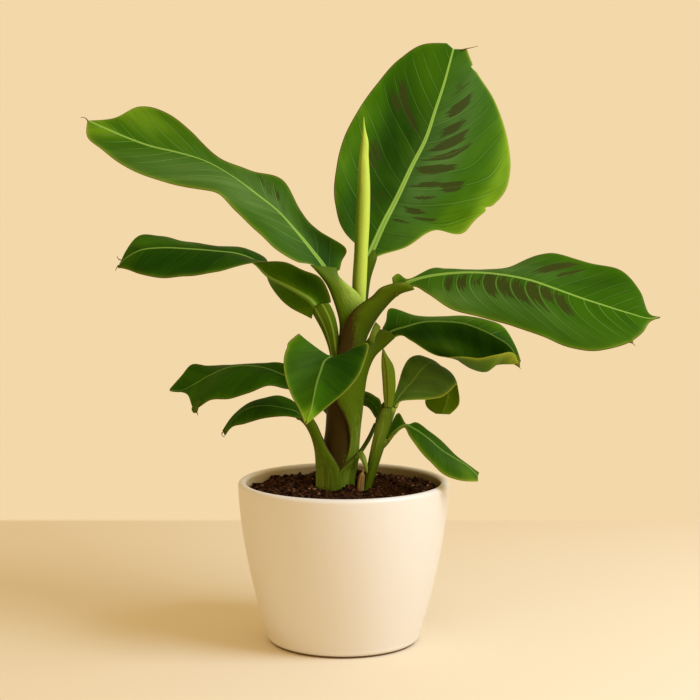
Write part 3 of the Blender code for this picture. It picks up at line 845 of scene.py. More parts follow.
def tube(path: Points, radii: Values, **others: float) -> Strap:
    """A round stalk about a path.

    Args:
        path: points along its middle.
        radii: its radius at each point.
        others: what else the strap is given.

    Returns:
        The strap, whose side lines are the path less and plus the radius, square to it.
    """
    middle = np.asarray(path, float)
    reach = np.asarray(radii, float)[:, None]
    along = unit(np.gradient(middle, axis=0))
    side = unit(np.cross(along, unit(np.array(TUBE_FACING))))
    left, right = (tuple(map(tuple, middle + side * way * reach)) for way in (1, -1))
    return Strap(left, right, radii, rimmed=0.0, **others)


@dataclass(frozen=True)
class LeafForm:
    """A leaf held by three guide curves: the rib from stalk to tip, and the margin on either side of it.

    The first points of the rib are the stalk, whose margins are the fold away from it, and the margins
    start where the blade does. A pair holds a value for the left half and one for the right, or, for the
    rib's depth and width, one for its start and one for its tip. The greater the sag's shift is, the nearer
    to the tip it is deepest, and the smaller its power is, the more evenly it spreads. A lean is how side
    veins slant at the blade's start, at its tip, and how they bend, and the gap is how far apart they are.
    Ribbing, veins, margined and rimmed are how strongly the rib, the side veins, the margin and its brown
    rim show. The rows of light, blotch and bloom marks are a Patch's numbers. Light marks and the tone
    lighten or darken the green: partly the leaf's own tone, partly painted light and shade. Bloom marks are
    a grey waxy bloom that also stands in for painted sheen.
    """

    name: str
    rib: Points
    left: Points
    right: Points
    veins: Pair
    stalk: Strap | None = None
    sag: Pair = (0.0, 0.0)
    sag_shift: float = 1.0
    sag_power: float = 1.0
    fold: float = 5.5
    rib_depth: Pair = (5.0, 1.4)
    rib_width: Pair = (2.6, 0.7)
    gap: float = 12.0
    lean: Point = (0.55, 1.1, 0.0015)
    right_lean: Point | None = None
    vein_start: float = 0.0
    ribbing: float = 0.5
    margined: Pair = (0.5, 0.5)
    rimmed: Pair = (1.0, 1.0)
    spacing: float = 1.4
    # tone lightens or darkens the whole leaf: partly its own green, partly painted shade on leaves that lie
    # in the shade of others.
    tone: float = 0.0
    nicks: tuple[Nick, ...] = ()
    flaps: tuple[Strap, ...] = ()
    threads: tuple[Points, ...] = ()
    light: tuple[Values, ...] = ()
    blotch: tuple[Values, ...] = ()
    bloom: tuple[Values, ...] = ()


class Leaf:
    """A leaf: its blade, the part of its stalk beyond the stem, and the dry threads at its tip."""

    def __init__(self, form: LeafForm) -> None:
        """Lays the rib out ring by ring. Args: form is the leaf's form."""
        self.form = form
        self.knots = knots_of(form.rib)
        self.start, self.total = self.knots[len(form.rib) - len(form.left)], self.knots[-1]
        begin = self.start - STALK_LAP if form.stalk else 0.0
        self.at = np.linspace(begin, self.total, int((self.total - begin) / form.spacing))
        self.rib = guide(form.rib, self.knots, self.at)
        self.along = unit(np.gradient(self.rib, axis=0))
        self.far = np.clip((self.at - self.start) / (self.total - self.start), 0, 1)[:, None]

    def margins(self) -> list[Array]:
        """The margins, with those of the folded stalk worked out from the rib. Returns: left and right."""
        form = self.form
        rib, left, right = (np.asarray(line, float) for line in (form.rib, form.left, form.right))
        across = unit(right[0] - left[0])
        made_left, made_right = [], []
        for i in range(len(rib) - len(left)):
            along = unit(rib[i + 1] - rib[i])
            side = unit(across - (across @ along) * along)
            rise = form.fold * math.sin(STALK_FOLD) * np.cross(side, along)
            out = form.fold * math.cos(STALK_FOLD) * side
            made_left.append(rib[i] - out + rise)
            made_right.append(rib[i] + out + rise)
        lines = (np.vstack([*made_left, left]), np.vstack([*made_right, right]))
        return [guide(line, self.knots, self.at) for line in lines]

    def half(self, line: Array, sign: int, sag: float, steps: int) -> tuple[Array, ...]:
        """One half of the face: a parabola from rib to margin, pulled down by the sag.

        The sag grows from nothing at either end of the blade, and near the margin it ripples.

        Args:
            line: the margin's place at each ring.
            sign: -1 for the left half and 1 for the right.
            sag: how deep it sags.
            steps: how many steps lead from rib to margin.

        Returns:
            The points, and each one's half width, its share of that width, and the sign.
        """
        form = self.form
        opening = np.sin(np.pi * self.far**form.sag_shift).clip(0) ** form.sag_power
        chord = line - self.rib
        width = np.linalg.norm(chord, axis=1, keepdims=True)
        down = -unit(np.cross(sign * chord, self.along))
        share = np.linspace(0, 1, steps + 1)[None, :] ** CROWDING
        dent = sum((nick.dent(self.at) for nick in form.nicks if nick.side == sign), np.zeros(len(self.at)))
        pulled = share - share**NICK_POWER * dent[:, None] / (width + 1)
        ripple = add_waves(0.0, RIPPLES, self.at, sign)[:, None]
        dip = 4 * share * (1 - share) * sag * opening + WAVE * (ripple * opening) * share**4
        points = self.rib[:, None] + pulled[..., None] * chord[:, None] + dip[..., None] * down[:, None]
        width, share = (np.broadcast_to(part, pulled.shape) for part in (width, share))
        return points, width, share, np.full(pulled.shape, float(sign))

    def veined(self, forward: Array, d: Array, side: Array) -> Array:
        """Where each place's side vein starts along the rib.

        It is the place along the rib, less the vein's lean times the distance from the rib, less its bend
        times that distance squared. What these take off is evened out, and the veins wander a little.

        Args:
            forward: how far each place is ahead of its ring.
            d: how far it is from the rib.
            side: which half it is on.

        Returns:
            The start of its side vein.
        """
        leans = zip(self.form.lean, self.form.right_lean or self.form.lean)
        base, tip, bend = (np.where(side < 0, one, other) for one, other in leans)
        ring = self.at[:, None]
        reach = np.clip((ring + forward - self.start) / (self.total - self.start), 0, 1)
        q = ring + forward - (base + (tip - base) * reach**2) * d - bend * d**2
        q = ring + self.evened(q - ring)
        return add_waves(q, WANDERS, q, side)

    def evened(self, values: Array) -> Array:
        """Evens values out along the leaf. Args: the values. Returns: each one's mean over EVENING mm."""
        half = int(EVENING / 2 / self.form.spacing)
        padded = np.pad(values, ((half + 1, half), (0, 0)), mode="edge")
        total = np.cumsum(padded, axis=0)
        return (total[2 * half + 1 :] - total[: -2 * half - 1]) / (2 * half + 1)

    def blade(self) -> Shell:
        """Builds the blade.

        On the face lie a ridge with a groove along the rib and a shallow valley along every side vein.
        Underneath are the blade's thickness and the rib's keel.

        Returns:
            The shell.
        """
        form, along, far = self.form, self.along, self.far
        lines = self.margins()
        steps = int(max(np.linalg.norm(line - self.rib, axis=1).max() for line in lines) / form.spacing)
        halves = [self.half(line, sign, sag, steps) for line, sign, sag in zip(lines, (-1, 1), form.sag)]
        face, width, share, side = (
            np.concatenate([one[:, :0:-1], other], axis=1) for one, other in zip(*halves)
        )
        offset = face - self.rib[:, None]
        forward = np.einsum("ijk,ik->ij", offset, along)
        d = np.linalg.norm(offset - forward[..., None] * along[:, None], axis=-1)
        q = self.veined(forward, d, side)
        edge = (1 - share) * width
        half_rib = between(form.rib_width, far**RIB_WIDTH_POWER)
        normal = unit(np.cross(np.gradient(face, axis=1), np.gradient(face, axis=0)))
        up = np.cross(face[:, -1] - face[:, 0], along)
        normal = normal * np.sign(np.einsum("ijk,ik->ij", normal, up))[..., None]
        groove, groove_width = RIB_GROOVE
        ridge = RIB_HEIGHT * np.exp(-((d / half_rib) ** 2))
        ridge = ridge - groove * np.exp(-((d / (groove_width * half_rib)) ** 2))
        valley = -VALLEY * np.cos(2 * np.pi * q / form.gap)
        for (low, high), distance in zip(VALLEY_RISE, (d, edge)):
            valley = valley * smooth_step(low, high, distance)
        depth = between((EDGE_BLADE, BLADE), smooth_step(0, EDGE_REACH, edge))
        keel = between(form.rib_depth, far**RIB_DEPTH_POWER)
        depth = depth + (keel - BLADE) * np.exp(-((d / RIB_SPREAD) ** 2))
        upper = face + (ridge * (1 - far**RIB_HEIGHT_POWER) + valley)[..., None] * normal
        lower = face + (valley - depth)[..., None] * normal
        chart = np.stack([q - form.vein_start, d * side], axis=-1)
        rows, chart = (
            np.concatenate([one, other[:, ::-1]], axis=1) for one, other in ((upper, lower), (chart, chart))
        )
        return self.closed(rows, chart, self.fields(q, d, side, edge, half_rib))

    def fields(self, q: Array, d: Array, side: Array, edge: Array, half_rib: Array) -> dict[str, Array]:
        """The blade's fields.

        Args:
            q: where each place's side vein starts.
            d: how far it is from the rib.
            side: which half it is on.
            edge: how far it is from the margin.
            half_rib: half the rib's width.

        Returns:
            Each field's values on both faces, by name.
        """
        made = {"edge": edge, "rib": d / half_rib * side, "ribbing": np.full_like(q, self.form.ribbing)}
        for kind in Tint:
            patches = (Patch(*row).value(q, d * side, kind.power) for row in getattr(self.form, kind.value))
            made[kind.value] = sum(patches, np.zeros_like(q))
        # The light marks plus the leaf's tone: partly its own tone, partly painted light and shade.
        made[Tint.LIGHT.value] = made[Tint.LIGHT.value] + self.form.tone
        for name in ("veins", "margined", "rimmed"):
            made[name] = np.where(side < 0, *getattr(self.form, name))
        both = {name: np.concatenate([value, value[:, ::-1]], axis=1) for name, value in made.items()}
        both["under"] = np.concatenate([np.zeros_like(q), np.ones_like(q)], axis=1)
        return both

    @staticmethod
    def closed(rows: Array, chart: Array, fields: dict[str, Array]) -> Shell:
        """A shell of flat rings, closed at both ends by a strip between its two faces.

        Args:
            rows: rings, each the upper face from left to right and then the lower face back.
            chart: the flat place of each point.
            fields: the fields' values.

        Returns:
            The shell.
        """
        index, _, quads = rings(*rows.shape[:2])
        j = np.arange(index.shape[1] // 2 - 1)
        first, last = (
            np.stack([row[j], row[j + 1], row[-2 - j], row[-1 - j]], axis=-1) for row in (index[0], index[-1])
        )
        quads = np.concatenate([quads, first[:, ::-1], last])
        flat = {name: value.reshape(-1) for name, value in fields.items()}
        triangles = np.empty((0, 3), dtype=int)
        return Shell(rows.reshape(-1, 3), quads, triangles, chart.reshape(-1, 2), flat).facing_out()

    def build(self, leaf: Material, stem: Material) -> Object:
        """Builds the leaf's piece. Args: the materials of its blade and its stalk. Returns: the piece."""
        shells = [self.blade()]
        if self.form.stalk:
            shells.append(self.form.stalk.shell(self.form.stalk.join, 1.0, slot=1))
        shells += [flap.shell(slot=1) for flap in self.form.flaps]
        for path in self.form.threads:
            radii = tuple(np.linspace(*THREAD_RADII, len(path)))
            shells.append(tube(path, radii, sides=8, dry=1.0, spacing=0.8).shell())
        return make_piece(self.form.name + "_look", shells, [leaf, stem])


# The stalks of the main plant's leaves, and the loose flaps of two of them
STALK_UPRIGHT = Strap(
    left=(
        (5.5, 3, 236), (7.3, 12, 257.5), (9, 16, 276.1), (10.7, 18, 293.1), (13.3, 20, 306.7),
        (16.7, 22, 320.3), (22, 24.5, 333),
    ),
    right=(
        (17.5, 5, 238), (19.3, 14, 259.1), (20.6, 17, 277.7), (21.4, 19, 294.7), (23.6, 21, 310),
        (27.9, 23, 323.6), (31, 26, 335),
    ),
    front=(4, 4, 3, 3, 3, 2.5, 1.5), back=(4,), pale=(-0.6, -0.6, -0.6, -0.6, -0.5, -0.4, -0.2),
    pale_and_painted_light_slant=(-0.3,), taper=10, join=0.421,
)
STALK_UPPER_LEFT = Strap(
    left=(
        (-8, -3, 243.8), (-3.7, -6, 262.8), (-3.7, -8, 275.7), (-8.7, -10, 293.6), (-14.5, -11, 307.1),
        (-22.9, -11, 318), (-27.9, -10, 323),
    ),
    right=(
        (17.5, 2, 244.9), (19.2, 2, 266.2), (19.1, 1, 285.9), (11.5, -3, 299.8), (1.4, -6, 308.4),
        (-4.5, -6, 315.2), (-5.3, -5, 320.2),
    ),
    front=(8, 6, 5, 4, 3, 2, 1), back=(6, 3, 2.5, 2.5, 3, 3, 2.5),
    pale=(-0.2, 0.2, 0.4, 0.4, 0.1, -0.2, -0.3), pale_and_painted_light_slant=(0.9, 0.9, 0.9, 0.9, 0.8, 0.3, 0.1),
    groove=0.25, join=0.3,
)
STALK_RIGHT = Strap(
    left=(
        (-5.5, -7, 231), (-5.3, -14, 245), (-2.8, -15, 257.8), (0.6, -16, 273), (7.3, -17, 284.1),
        (15.4, -17, 291.5), (24, -18, 297.5), (30.6, -19, 304.3), (39.8, -22, 308.1), (46.5, -25, 309.6),
        (52.5, -27, 310.2),
    ),
    right=(
        (16, -3, 231), (17.4, -6, 244.1), (19.1, -7, 258.6), (23.3, -9, 269), (29.9, -13, 280.3),
        (37.4, -17, 289.9), (43.1, -20, 296), (47.7, -24, 299.6), (52.5, -27, 301.6), (56.5, -29, 302.9),
        (60.5, -31, 304.1),
    ),
    front=(4, 5, 5, 5, 5, 4.5, 4, 3.5, 3, 2.6, 1.6), back=(6, 6, 6, 6, 5, 5, 4.5, 4, 3, 2, 1),
    pale=(-0.5, -0.5, -0.5, -0.5, -0.45, -0.4, -0.35, -0.2, -0.1, 0, 0), pale_and_painted_light_slant=(-0.35,),
    maroon=(0.9, 0.8, 0.62, 0.36, 0.12, 0, 0, 0, 0, 0, 0), maroon_slant=-0.6, taper=2, join=0.449,
)
STALK_MID_LEFT = Strap(
    left=(
        (-10, 0, 227), (-10.5, -5, 240.6), (-12.9, -9, 253.8), (-17.9, -12, 267.6), (-23.7, -15, 278.8),
        (-29.5, -17, 289.1), (-34.5, -19, 296),
    ),
    right=(
        (-1, -3, 227), (-1.2, -7, 240.8), (-3.2, -10, 255.6), (-4.5, -11, 269.2), (-7.8, -13, 282.9),
        (-12.8, -15, 292.3), (-19.5, -17, 299.1),
    ),
    front=(3, 4, 4.5, 4.5, 4, 3.5, 2.5), back=(4, 4, 4, 4, 3.5, 3, 2),
    pale=(-0.5, -0.5, -0.5, -0.5, -0.4, -0.3, -0.2), pale_and_painted_light_slant=(0.1,), maroon=(0.9, 0, 0, 0, 0, 0, 0),
    lines=(-0.5, 0.35), taper=4, join=0.382, sides=96,
)
STALK_MID_RIGHT = Strap(
    left=(
        (-2, -13, 149.4), (3.1, -14, 162.4), (5.2, -15, 175.3), (4.3, -16, 185.7), (0.1, -17, 197.6),
        (-5.4, -17, 207.7), (-6.5, -16, 219.3), (1, -13, 232.4), (11.5, -7, 246.7), (20.9, 2, 259.7),
        (28.6, 8, 269.7),
    ),
    right=(
        (12, -4, 147.8), (12.8, -4, 160.7), (13.3, -4, 173.7), (14.1, -4, 185.7), (15.8, -4, 197.6),
        (17.1, -4, 207.7), (18.4, -4, 217.7), (20.5, -2, 230.2), (26.1, 2, 243.6), (36.3, 8, 252.6),
        (46.7, 12, 261.7),
    ),
    front=(2, 2.5, 3, 4, 5, 5.5, 5.5, 5.5, 5, 4, 2.5), back=(2, 2, 2, 3, 4, 5, 6, 6, 5, 4, 3),
    pale=(0.3, 0.3, 0.3, 0.2, 0.05, -0.1, -0.2, -0.3, -0.3, -0.3, -0.2), pale_and_painted_light_slant=(0.12,),
    maroon=(0.1, 0.1, 0.15, 0.2, 0.25, 0.25, 0.2, 0.15, 0.1, 0, 0), maroon_slant=-0.2, taper=3, join=0.76,
)
STALK_FRONT = Strap(
    left=((-4.5, -10, 205.4), (-3.2, -15, 218), (-2.8, -18, 226.9), (-4.8, -24, 236.9), (-6, -33, 245)),
    right=((7.3, -9, 205.3), (5.6, -14, 217.9), (4.3, -17, 227.6), (2.7, -23, 238.4), (0, -32, 246)),
    front=(3, 3, 3, 3, 2), back=(4, 4, 3.5, 3, 2), taper=8, join=0.5,
)
STALK_LOW_LEFT = Strap(
    left=((-6.4, 2, 183), (-14.9, 5, 194.7), (-22.6, 8, 202.9), (-27.8, 10, 209.5), (-35, 12, 215)),
    right=((5.6, 2, 186.5), (-6.4, 6, 202.3), (-15.8, 8, 209.8), (-21.8, 11, 215.4), (-30, 14, 222)),
    front=(4, 4, 3.5, 3, 2), back=(5, 4.5, 4, 3.5, 3), pale=(-0.1, -0.1, -0.1, 0, 0), taper=8, join=0.5,
)
STALK_LOWEST_LEFT = Strap(
    left=(
        (-23.4, -6, 112), (-23.4, -6, 136), (-23.3, -7, 146.6), (-23.7, -8, 156.2), (-24.5, -9, 165.9),
        (-27.4, -10, 177.2), (-31.6, -11, 185.9), (-37, -14, 192.2), (-46, -17, 196.8),
    ),
    right=(
        (0, -12, 113), (-1.2, -16, 137.9), (-2, -17, 148.4), (-6.6, -17, 157.8), (-12.6, -15, 166.9),
        (-18.1, -14, 178.7), (-23.1, -14, 189.8), (-30, -15, 199.5), (-42.4, -17, 203),
    ),
    front=(4, 4.5, 4.5, 4, 3.5, 3, 3, 2, 1.5), back=(5, 6, 6, 5, 4, 3, 3, 2, 1.5),
    pale=(0.3, 0.3, 0.25, 0.15, 0.05, -0.1, -0.2, -0.4, -0.5), pale_and_painted_light_slant=(-0.15,), taper=4, join=0.72,
)
MOUTH_STRIP = Strap(
    left=((20.9, -9, 259.5), (23, -9, 266), (26.1, -7, 272.9), (27.4, -6, 274.6)),
    right=((26.5, -10, 256.8), (27.7, -10, 263.4), (30.5, -7, 267.9), (31.4, -6, 270.4)),
    front=(0.8, 0.8, 0.7, 0.5), back=(1.5, 1.5, 1.2, 0.8), pale=(0.1, 0.3, 0.3, 0.2), sides=24,
    spacing=0.8,
)
TIP_FLAP = Strap(
    left=((145.9, 33, 235.3), (149.8, 33, 233.1), (152.8, 33, 231)),
    right=((149.7, 33, 242.8), (152.3, 33, 241.4), (153.3, 33, 231.8)),
    front=(0.5, 0.5, 0.3), pale=(0.2,), sides=24, spacing=0.8,
)
TIP_CURL = Strap(
    left=((-124.7, 7, 207.5), (-128.8, 6, 201.9), (-129.9, 6, 198.4), (-128.5, 6, 195.6)),
    right=((-119.2, 5, 204.9), (-123.1, 5, 201.9), (-124.2, 5, 198.4), (-125, 6, 195.8)),
    front=(1, 1.8, 2, 1), pale=(-0.7, -0.6, -0.5, -0.5), sides=24, spacing=0.8,
)

# The leaves of the main plant from the top down, then those of the offshoot
UPRIGHT = LeafForm(
    "leaf_upright",
    rib=(
        (12, 20, 276), (17, 22, 303), (23, 25, 330), (28, 28, 342), (37, 33, 361), (43, 37, 372),
        (49, 40, 384), (59, 47, 405), (71, 54, 428), (80, 61, 454), (88, 66, 478), (93, 69, 496),
        (96, 71, 507),
    ),
    left=(
        (19, 24, 330), (2, 20, 348), (-7, 22, 374), (-8, 24, 388), (-6, 28, 404), (0, 34, 428),
        (12, 42, 452), (29, 50, 476), (49, 58, 498), (71, 64, 511), (90, 70, 512),
    ),
    right=(
        (29, 25, 328), (52, 32, 335), (80, 43, 350), (100, 50, 347), (118, 56, 361), (139, 66, 379),
        (147, 73, 401), (144, 78, 431), (132, 80, 465), (115, 77, 491), (108, 74, 507),
    ),
    stalk=STALK_UPRIGHT, sag=(6, -3), rib_width=(3, 0.8), gap=15, lean=(0.5, 1.3, 0.0015),
    right_lean=(0.25, 1.5, 0.0015), vein_start=0.8, ribbing=0.85, veins=(0.7, 0.35), margined=(0.1, 1),
    rimmed=(1, 0.35),
    nicks=(Nick(1, 241.3, 4, 1.3), Nick(1, 126.4, 3.5, 1.8), Nick(1, 106, -2, 5)),
    threads=(((102.6, 72, 506.2), (107.9, 72.5, 507.5), (112.3, 73, 508.4), (117.6, 74, 509.8)),),
    light=(
        (128, -20, 26, 70, -0.3), (150, -42, 18, 30, -0.12), (212, -20, 18, 22, 0.2),
        (90, -52, 12, 80, 0.3), (120, 58, 22, 60, 0.16), (72, 50, 20, 30, 0.25), (118, 76, 11, 60, 0.45),
    ),
    blotch=(
        (204, 16, 9, 6, 0.55), (187, 19, 9, 5.5, 1), (171.5, 20, 12, 4.6, 1.05), (160, 22, 15, 4.8, 1.1),
        (150.5, 23, 16, 3, 0.9), (139, 19, 16, 4.4, 0.98), (125, 19, 16, 2.8, 0.85),
        (121, 40, 9, 5.2, 1.1), (113, 22, 16, 1.8, 0.8), (101, 18, 11, 3, 0.85), (94.5, 29, 15, 1.7, 0.8),
        (88, 12, 7, 1.6, 0.65), (160, -35, 8, 5.6, 0.8), (172, -31, 8, 5.6, 0.85),
        (167.5, -17, 10, 5.5, 0.8), (112, -33, 9, 9, 0.5), (95, -16, 10, 12, 0.4),
    ),
    bloom=((150, 18, 18, 70, 0.7),),
)
UPPER_LEFT = LeafForm(
    "leaf_upper_left",
    rib=(
        (2, -10, 270), (-3, -11, 287), (-10, -8, 307), (-15, -4, 319), (-27, 2, 335), (-41, 8, 352),
        (-56, 14, 368), (-72, 19, 380), (-92, 24, 395), (-118, 28, 410), (-142, 30, 417), (-164, 30, 422),
        (-186, 28, 430), (-204, 26, 438), (-217, 24, 444),
    ),
    left=(
        (-23, -8, 321), (-39, -12, 326), (-57, -14, 337), (-72, -12, 351), (-88, -6, 366), (-106, 2, 382),
        (-134, 8, 388), (-160, 10, 394.3), (-184, 12, 404.7), (-204, 16, 418.8), (-217.6, 20, 430.5),
        (-218, 24, 442),
    ),
    right=(
        (-2, 4, 323), (2, 14, 336), (-22, 24, 351), (-37, 32, 368), (-51, 38, 392), (-80, 38, 402),
        (-112, 40, 416), (-132, 44, 436), (-152, 44, 451), (-176, 38, 456), (-197, 31, 446),
        (-216, 25, 444),
    ),
    stalk=STALK_UPPER_LEFT, sag=(-3, 3), fold=7, rib_width=(2.2, 0.8), gap=16, lean=(0.9, 1.6, 0.03),
    right_lean=(1.4, 2.4, -0.01), ribbing=0.75, veins=(1.5, 1.2), margined=(0.8, 0.3), rimmed=(0.5, 1),
    tone=0.08,
    threads=(((-217.2, 24, 442.6), (-218.4, 24, 445.2), (-220.5, 24, 446.4), (-223.5, 24, 446.4)),),
    light=(
        (54, 12, 24, 26, -0.45), (150, -16, 16, 50, 0.1), (224, 24, 16, 36, 0.4), (285, -3, 14, 20, 0.35),
    ),
    blotch=((116, 15, 9, 17, 0.55), (52, 16, 12, 14, 0.25)),
    bloom=((145, -16, 18, 75, 0.95), (122, 10, 14, 45, 0.6)),
)
RIGHT = LeafForm(
    "leaf_right",
    rib=(
        (23, -19, 277), (33, -22, 290), (46, -23, 304), (56, -23, 310), (69, -24, 314), (87, -26, 317),
        (112, -29, 318), (134, -33, 316), (154, -38, 312), (175, -43, 305), (195, -48, 298),
        (214, -52, 292), (234, -56, 286), (249, -59, 282.5), (257, -61, 283.6),
    ),
    left=(
        (45, -16, 316), (54, -20, 312), (73, -12, 320), (87, -6, 320), (115, -1, 317.6), (139, 3, 320.6),
        (164, 2, 331), (184, -4, 331), (206, -12, 325), (229, -26, 320), (244, -42, 303),
        (250, -56, 285.5), (257, -60.7, 284),
    ),
    right=(
        (47, -27, 301), (58, -27, 306), (69, -34, 301), (88, -44, 289), (116, -54, 282), (139, -62, 276),
        (162, -70, 268), (184, -75, 260), (206, -77, 258), (227, -75, 263), (242, -69, 272),
        (250, -61, 280.3), (257, -61.2, 283.2),
    ),
    stalk=STALK_RIGHT, sag=(-2, -4), fold=6.5, rib_width=(2.2, 0.6), gap=11.7, lean=(0.5, 1.2, 0.0015),
    right_lean=(-0.7, 1.26, 0.026), vein_start=6.2, ribbing=0.7, veins=(0.5, 0.85), margined=(0.15, 0.6),
    nicks=(Nick(1, 219.2, -2.2, 1.5),),
    threads=(((230.9, -74, 264.7), (233.4, -74, 263.5), (235, -74, 261.5)),),
    light=(
        (72, 26, 12, 40, 0.2), (32, -12, 10, 16, 0.42), (190, 20, 22, 40, 0.05), (180, -25, 20, 50, -0.1),
    ),
    blotch=(
        (81, 10, 9, 3.6, 0.95), (92.5, 10, 9, 5, 0.95), (105, 9, 9, 5.4, 0.75), (117.3, 11, 13, 5.4, 0.92),
        (129, 12, 14, 5.4, 0.95), (140.7, 14, 15, 5.6, 0.95), (152.4, 12, 14, 5.4, 0.92),
        (164.1, 9, 10, 5.2, 0.95), (174.6, 12, 10, 4.8, 0.95), (141.5, -27, 15, 6.5, 1.1),
        (156, -24, 12, 3.4, 0.85),
    ),
    bloom=((90, 26, 14, 60, 0.6), (110, -14, 14, 50, 0.5)),
)
MID_LEFT = LeafForm(
    "leaf_mid_left",
    rib=(
        (-12, -14, 256), (-18, -18, 272), (-26, -21, 295), (-36, -22, 302), (-48, -24, 309),
        (-61, -27, 316), (-72, -31, 327), (-85, -35, 333), (-105, -38, 336), (-127, -41, 338),
        (-150, -44, 339), (-166, -46, 337), (-177, -46, 331), (-184, -46, 324),
    ),
    left=(
        (-11, -26, 298), (-18, -34, 313), (-33, -42, 321), (-48, -50, 328), (-69, -58, 328),
        (-88, -62, 324), (-107, -64, 320), (-127, -66, 317), (-148, -66, 316), (-165, -62, 319),
        (-176, -54, 322), (-184, -47, 323),
    ),
    right=(
        (-30, -14, 280), (-43, -6, 286), (-54, -2, 295), (-64, -2, 311), (-65, -6, 328), (-81, -10, 337),
        (-107, -14, 339), (-131, -17, 343), (-152, -20, 348), (-169, -27, 348), (-178, -38, 337),
        (-183, -46, 325),
    ),
    stalk=STALK_MID_LEFT, sag=(-2, -2), rib_width=(2.4, 0.5), veins=(0.5, 0.3),
    margined=(0.4, 0.15), tone=-0.3,
    threads=(
        ((-183.2, -46, 325.1), (-184.8, -46, 323.4), (-186.1, -46, 320.2)),
        ((-181.6, -45, 329.1), (-183.6, -45, 329.9), (-184.8, -45, 332.4)),
    ),
    light=(
        (46, -15, 12, 22, -0.6), (48, 0, 5, 26, 0.5), (177, 12, 10, 45, 0.3), (206, -5, 10, 14, 0.2),
        (140, -14, 16, 40, -0.1),
    ),
)
MID_RIGHT = LeafForm(
    "leaf_mid_right",
    rib=(
        (22, 9, 243), (29, 12, 252), (40, 16, 264), (53, 20, 268), (69, 24, 272), (88, 28, 272),
        (104, 31, 270), (118, 33, 265), (132, 35, 258), (144, 36, 250), (153, 33, 235),
    ),
    left=(
        (36, 20, 272), (40, 32, 283), (63, 42, 276), (88, 48, 275), (107, 52, 275), (125, 52, 271),
        (140, 50, 266), (149, 44, 252), (154, 34, 237),
    ),
    right=(
        (48, 14, 261), (57, 6, 258), (74, -2, 248), (87, -6, 245), (102, -6, 245), (116, -2, 244),
        (131, 6, 246), (144, 20, 246), (152, 32, 235),
    ),
    stalk=STALK_MID_RIGHT, sag=(-2, 28.5), sag_shift=2.4, sag_power=0.8, fold=6, rib_width=(1, 0.45),
    veins=(0.7, 0.1), margined=(0.2, 1), rimmed=(1, 0), tone=-0.28,
    flaps=(MOUTH_STRIP, TIP_FLAP), threads=(((148, 33, 235.3), (151.5, 33, 232.7), (154.2, 33, 230.1)),),
    light=((80, 8, 10, 60, -0.1), (74, 23, 8, 50, 0.5), (100, -12, 16, 70, 0.45)),
)
FRONT = LeafForm(
    "leaf_front",
    rib=(
        (1, -18, 228), (-1, -27, 239), (-5, -38, 248), (-7.5, -44, 249.4), (-9.6, -48.8, 249.9),
        (-10, -50, 250), (-10.5, -51.5, 249.8), (-15, -65, 248), (-18, -82, 242), (-21, -96, 234),
        (-23, -108, 225), (-25, -117, 216), (-29.1, -124, 205.4),
    ),
    left=(
        (1, -36, 252), (7, -36.5, 255.6), (11.2, -37.8, 257.6), (12, -38, 258), (12.8, -39.2, 258.3),
        (20, -50, 261), (19, -68, 254), (13, -86, 240), (2, -101, 228), (-12, -114, 218),
        (-28.6, -124, 205.4),
    ),
    right=(
        (-10, -34, 249), (-22.5, -34.5, 253.6), (-33.4, -36.5, 263.5), (-36.5, -37, 267.8),
        (-39.6, -39.5, 265.8), (-46, -54, 258), (-48, -74, 246), (-45, -91, 234), (-40, -104, 224),
        (-34, -115, 215), (-29.6, -124, 205.4),
    ),
    stalk=STALK_FRONT, sag=(2, 2), fold=4.5, rib_width=(1.5, 0.4), gap=12.4, ribbing=0.4,
    veins=(0.25, 0.3), margined=(0.7, 0.7), rimmed=(0.4, 0.8), spacing=1,
    threads=(((-28.3, -124, 208), (-29.1, -125, 206.2), (-29.5, -125, 204.6)),),
    light=(
        (58, -15, 20, 40, -0.35), (60, 16, 20, 40, -0.05), (129, 0, 7, 12, 0.6), (120, 0, 10, 24, 0.15),
        (22, -34, 16, 16, -0.25),
    ),
    bloom=((50, 14, 14, 30, 0.3),),
)
LOW_LEFT = LeafForm(
    "leaf_low_left",
    rib=(
        (-20, 9, 207), (-28, 12, 215), (-36, 14, 222), (-50, 17, 226), (-67, 21, 232), (-83, 24, 234),
        (-100, 27, 232), (-116, 29, 225), (-128, 30, 218), (-140, 30, 212), (-151, 30, 212),
    ),
    left=(
        (-35, 9, 214), (-48, 6, 216), (-64, 2, 219), (-80, 0, 214), (-96, -2, 209), (-113, 0, 207),
        (-128, 8, 199), (-136, 22, 210), (-151, 30, 211),
    ),
    right=(
        (-38, 18, 230), (-52, 24, 236), (-69, 32, 236), (-84, 38, 234), (-101, 43, 232), (-120, 45, 232),
        (-133, 42, 233), (-142, 37, 223), (-151, 31, 213),
    ),
    stalk=STALK_LOW_LEFT, sag=(-3, -1), fold=4.5, rib_width=(1, 0.4),
    veins=(0.3, 0.3), margined=(0.25, 0.1), tone=-0.14, flaps=(TIP_CURL,),
    threads=(((-126.5, 6, 196.2), (-124.6, 6, 194.8), (-124.8, 6, 193.2)),),
    light=((112, -9, 14, 24, 0.15),),
)
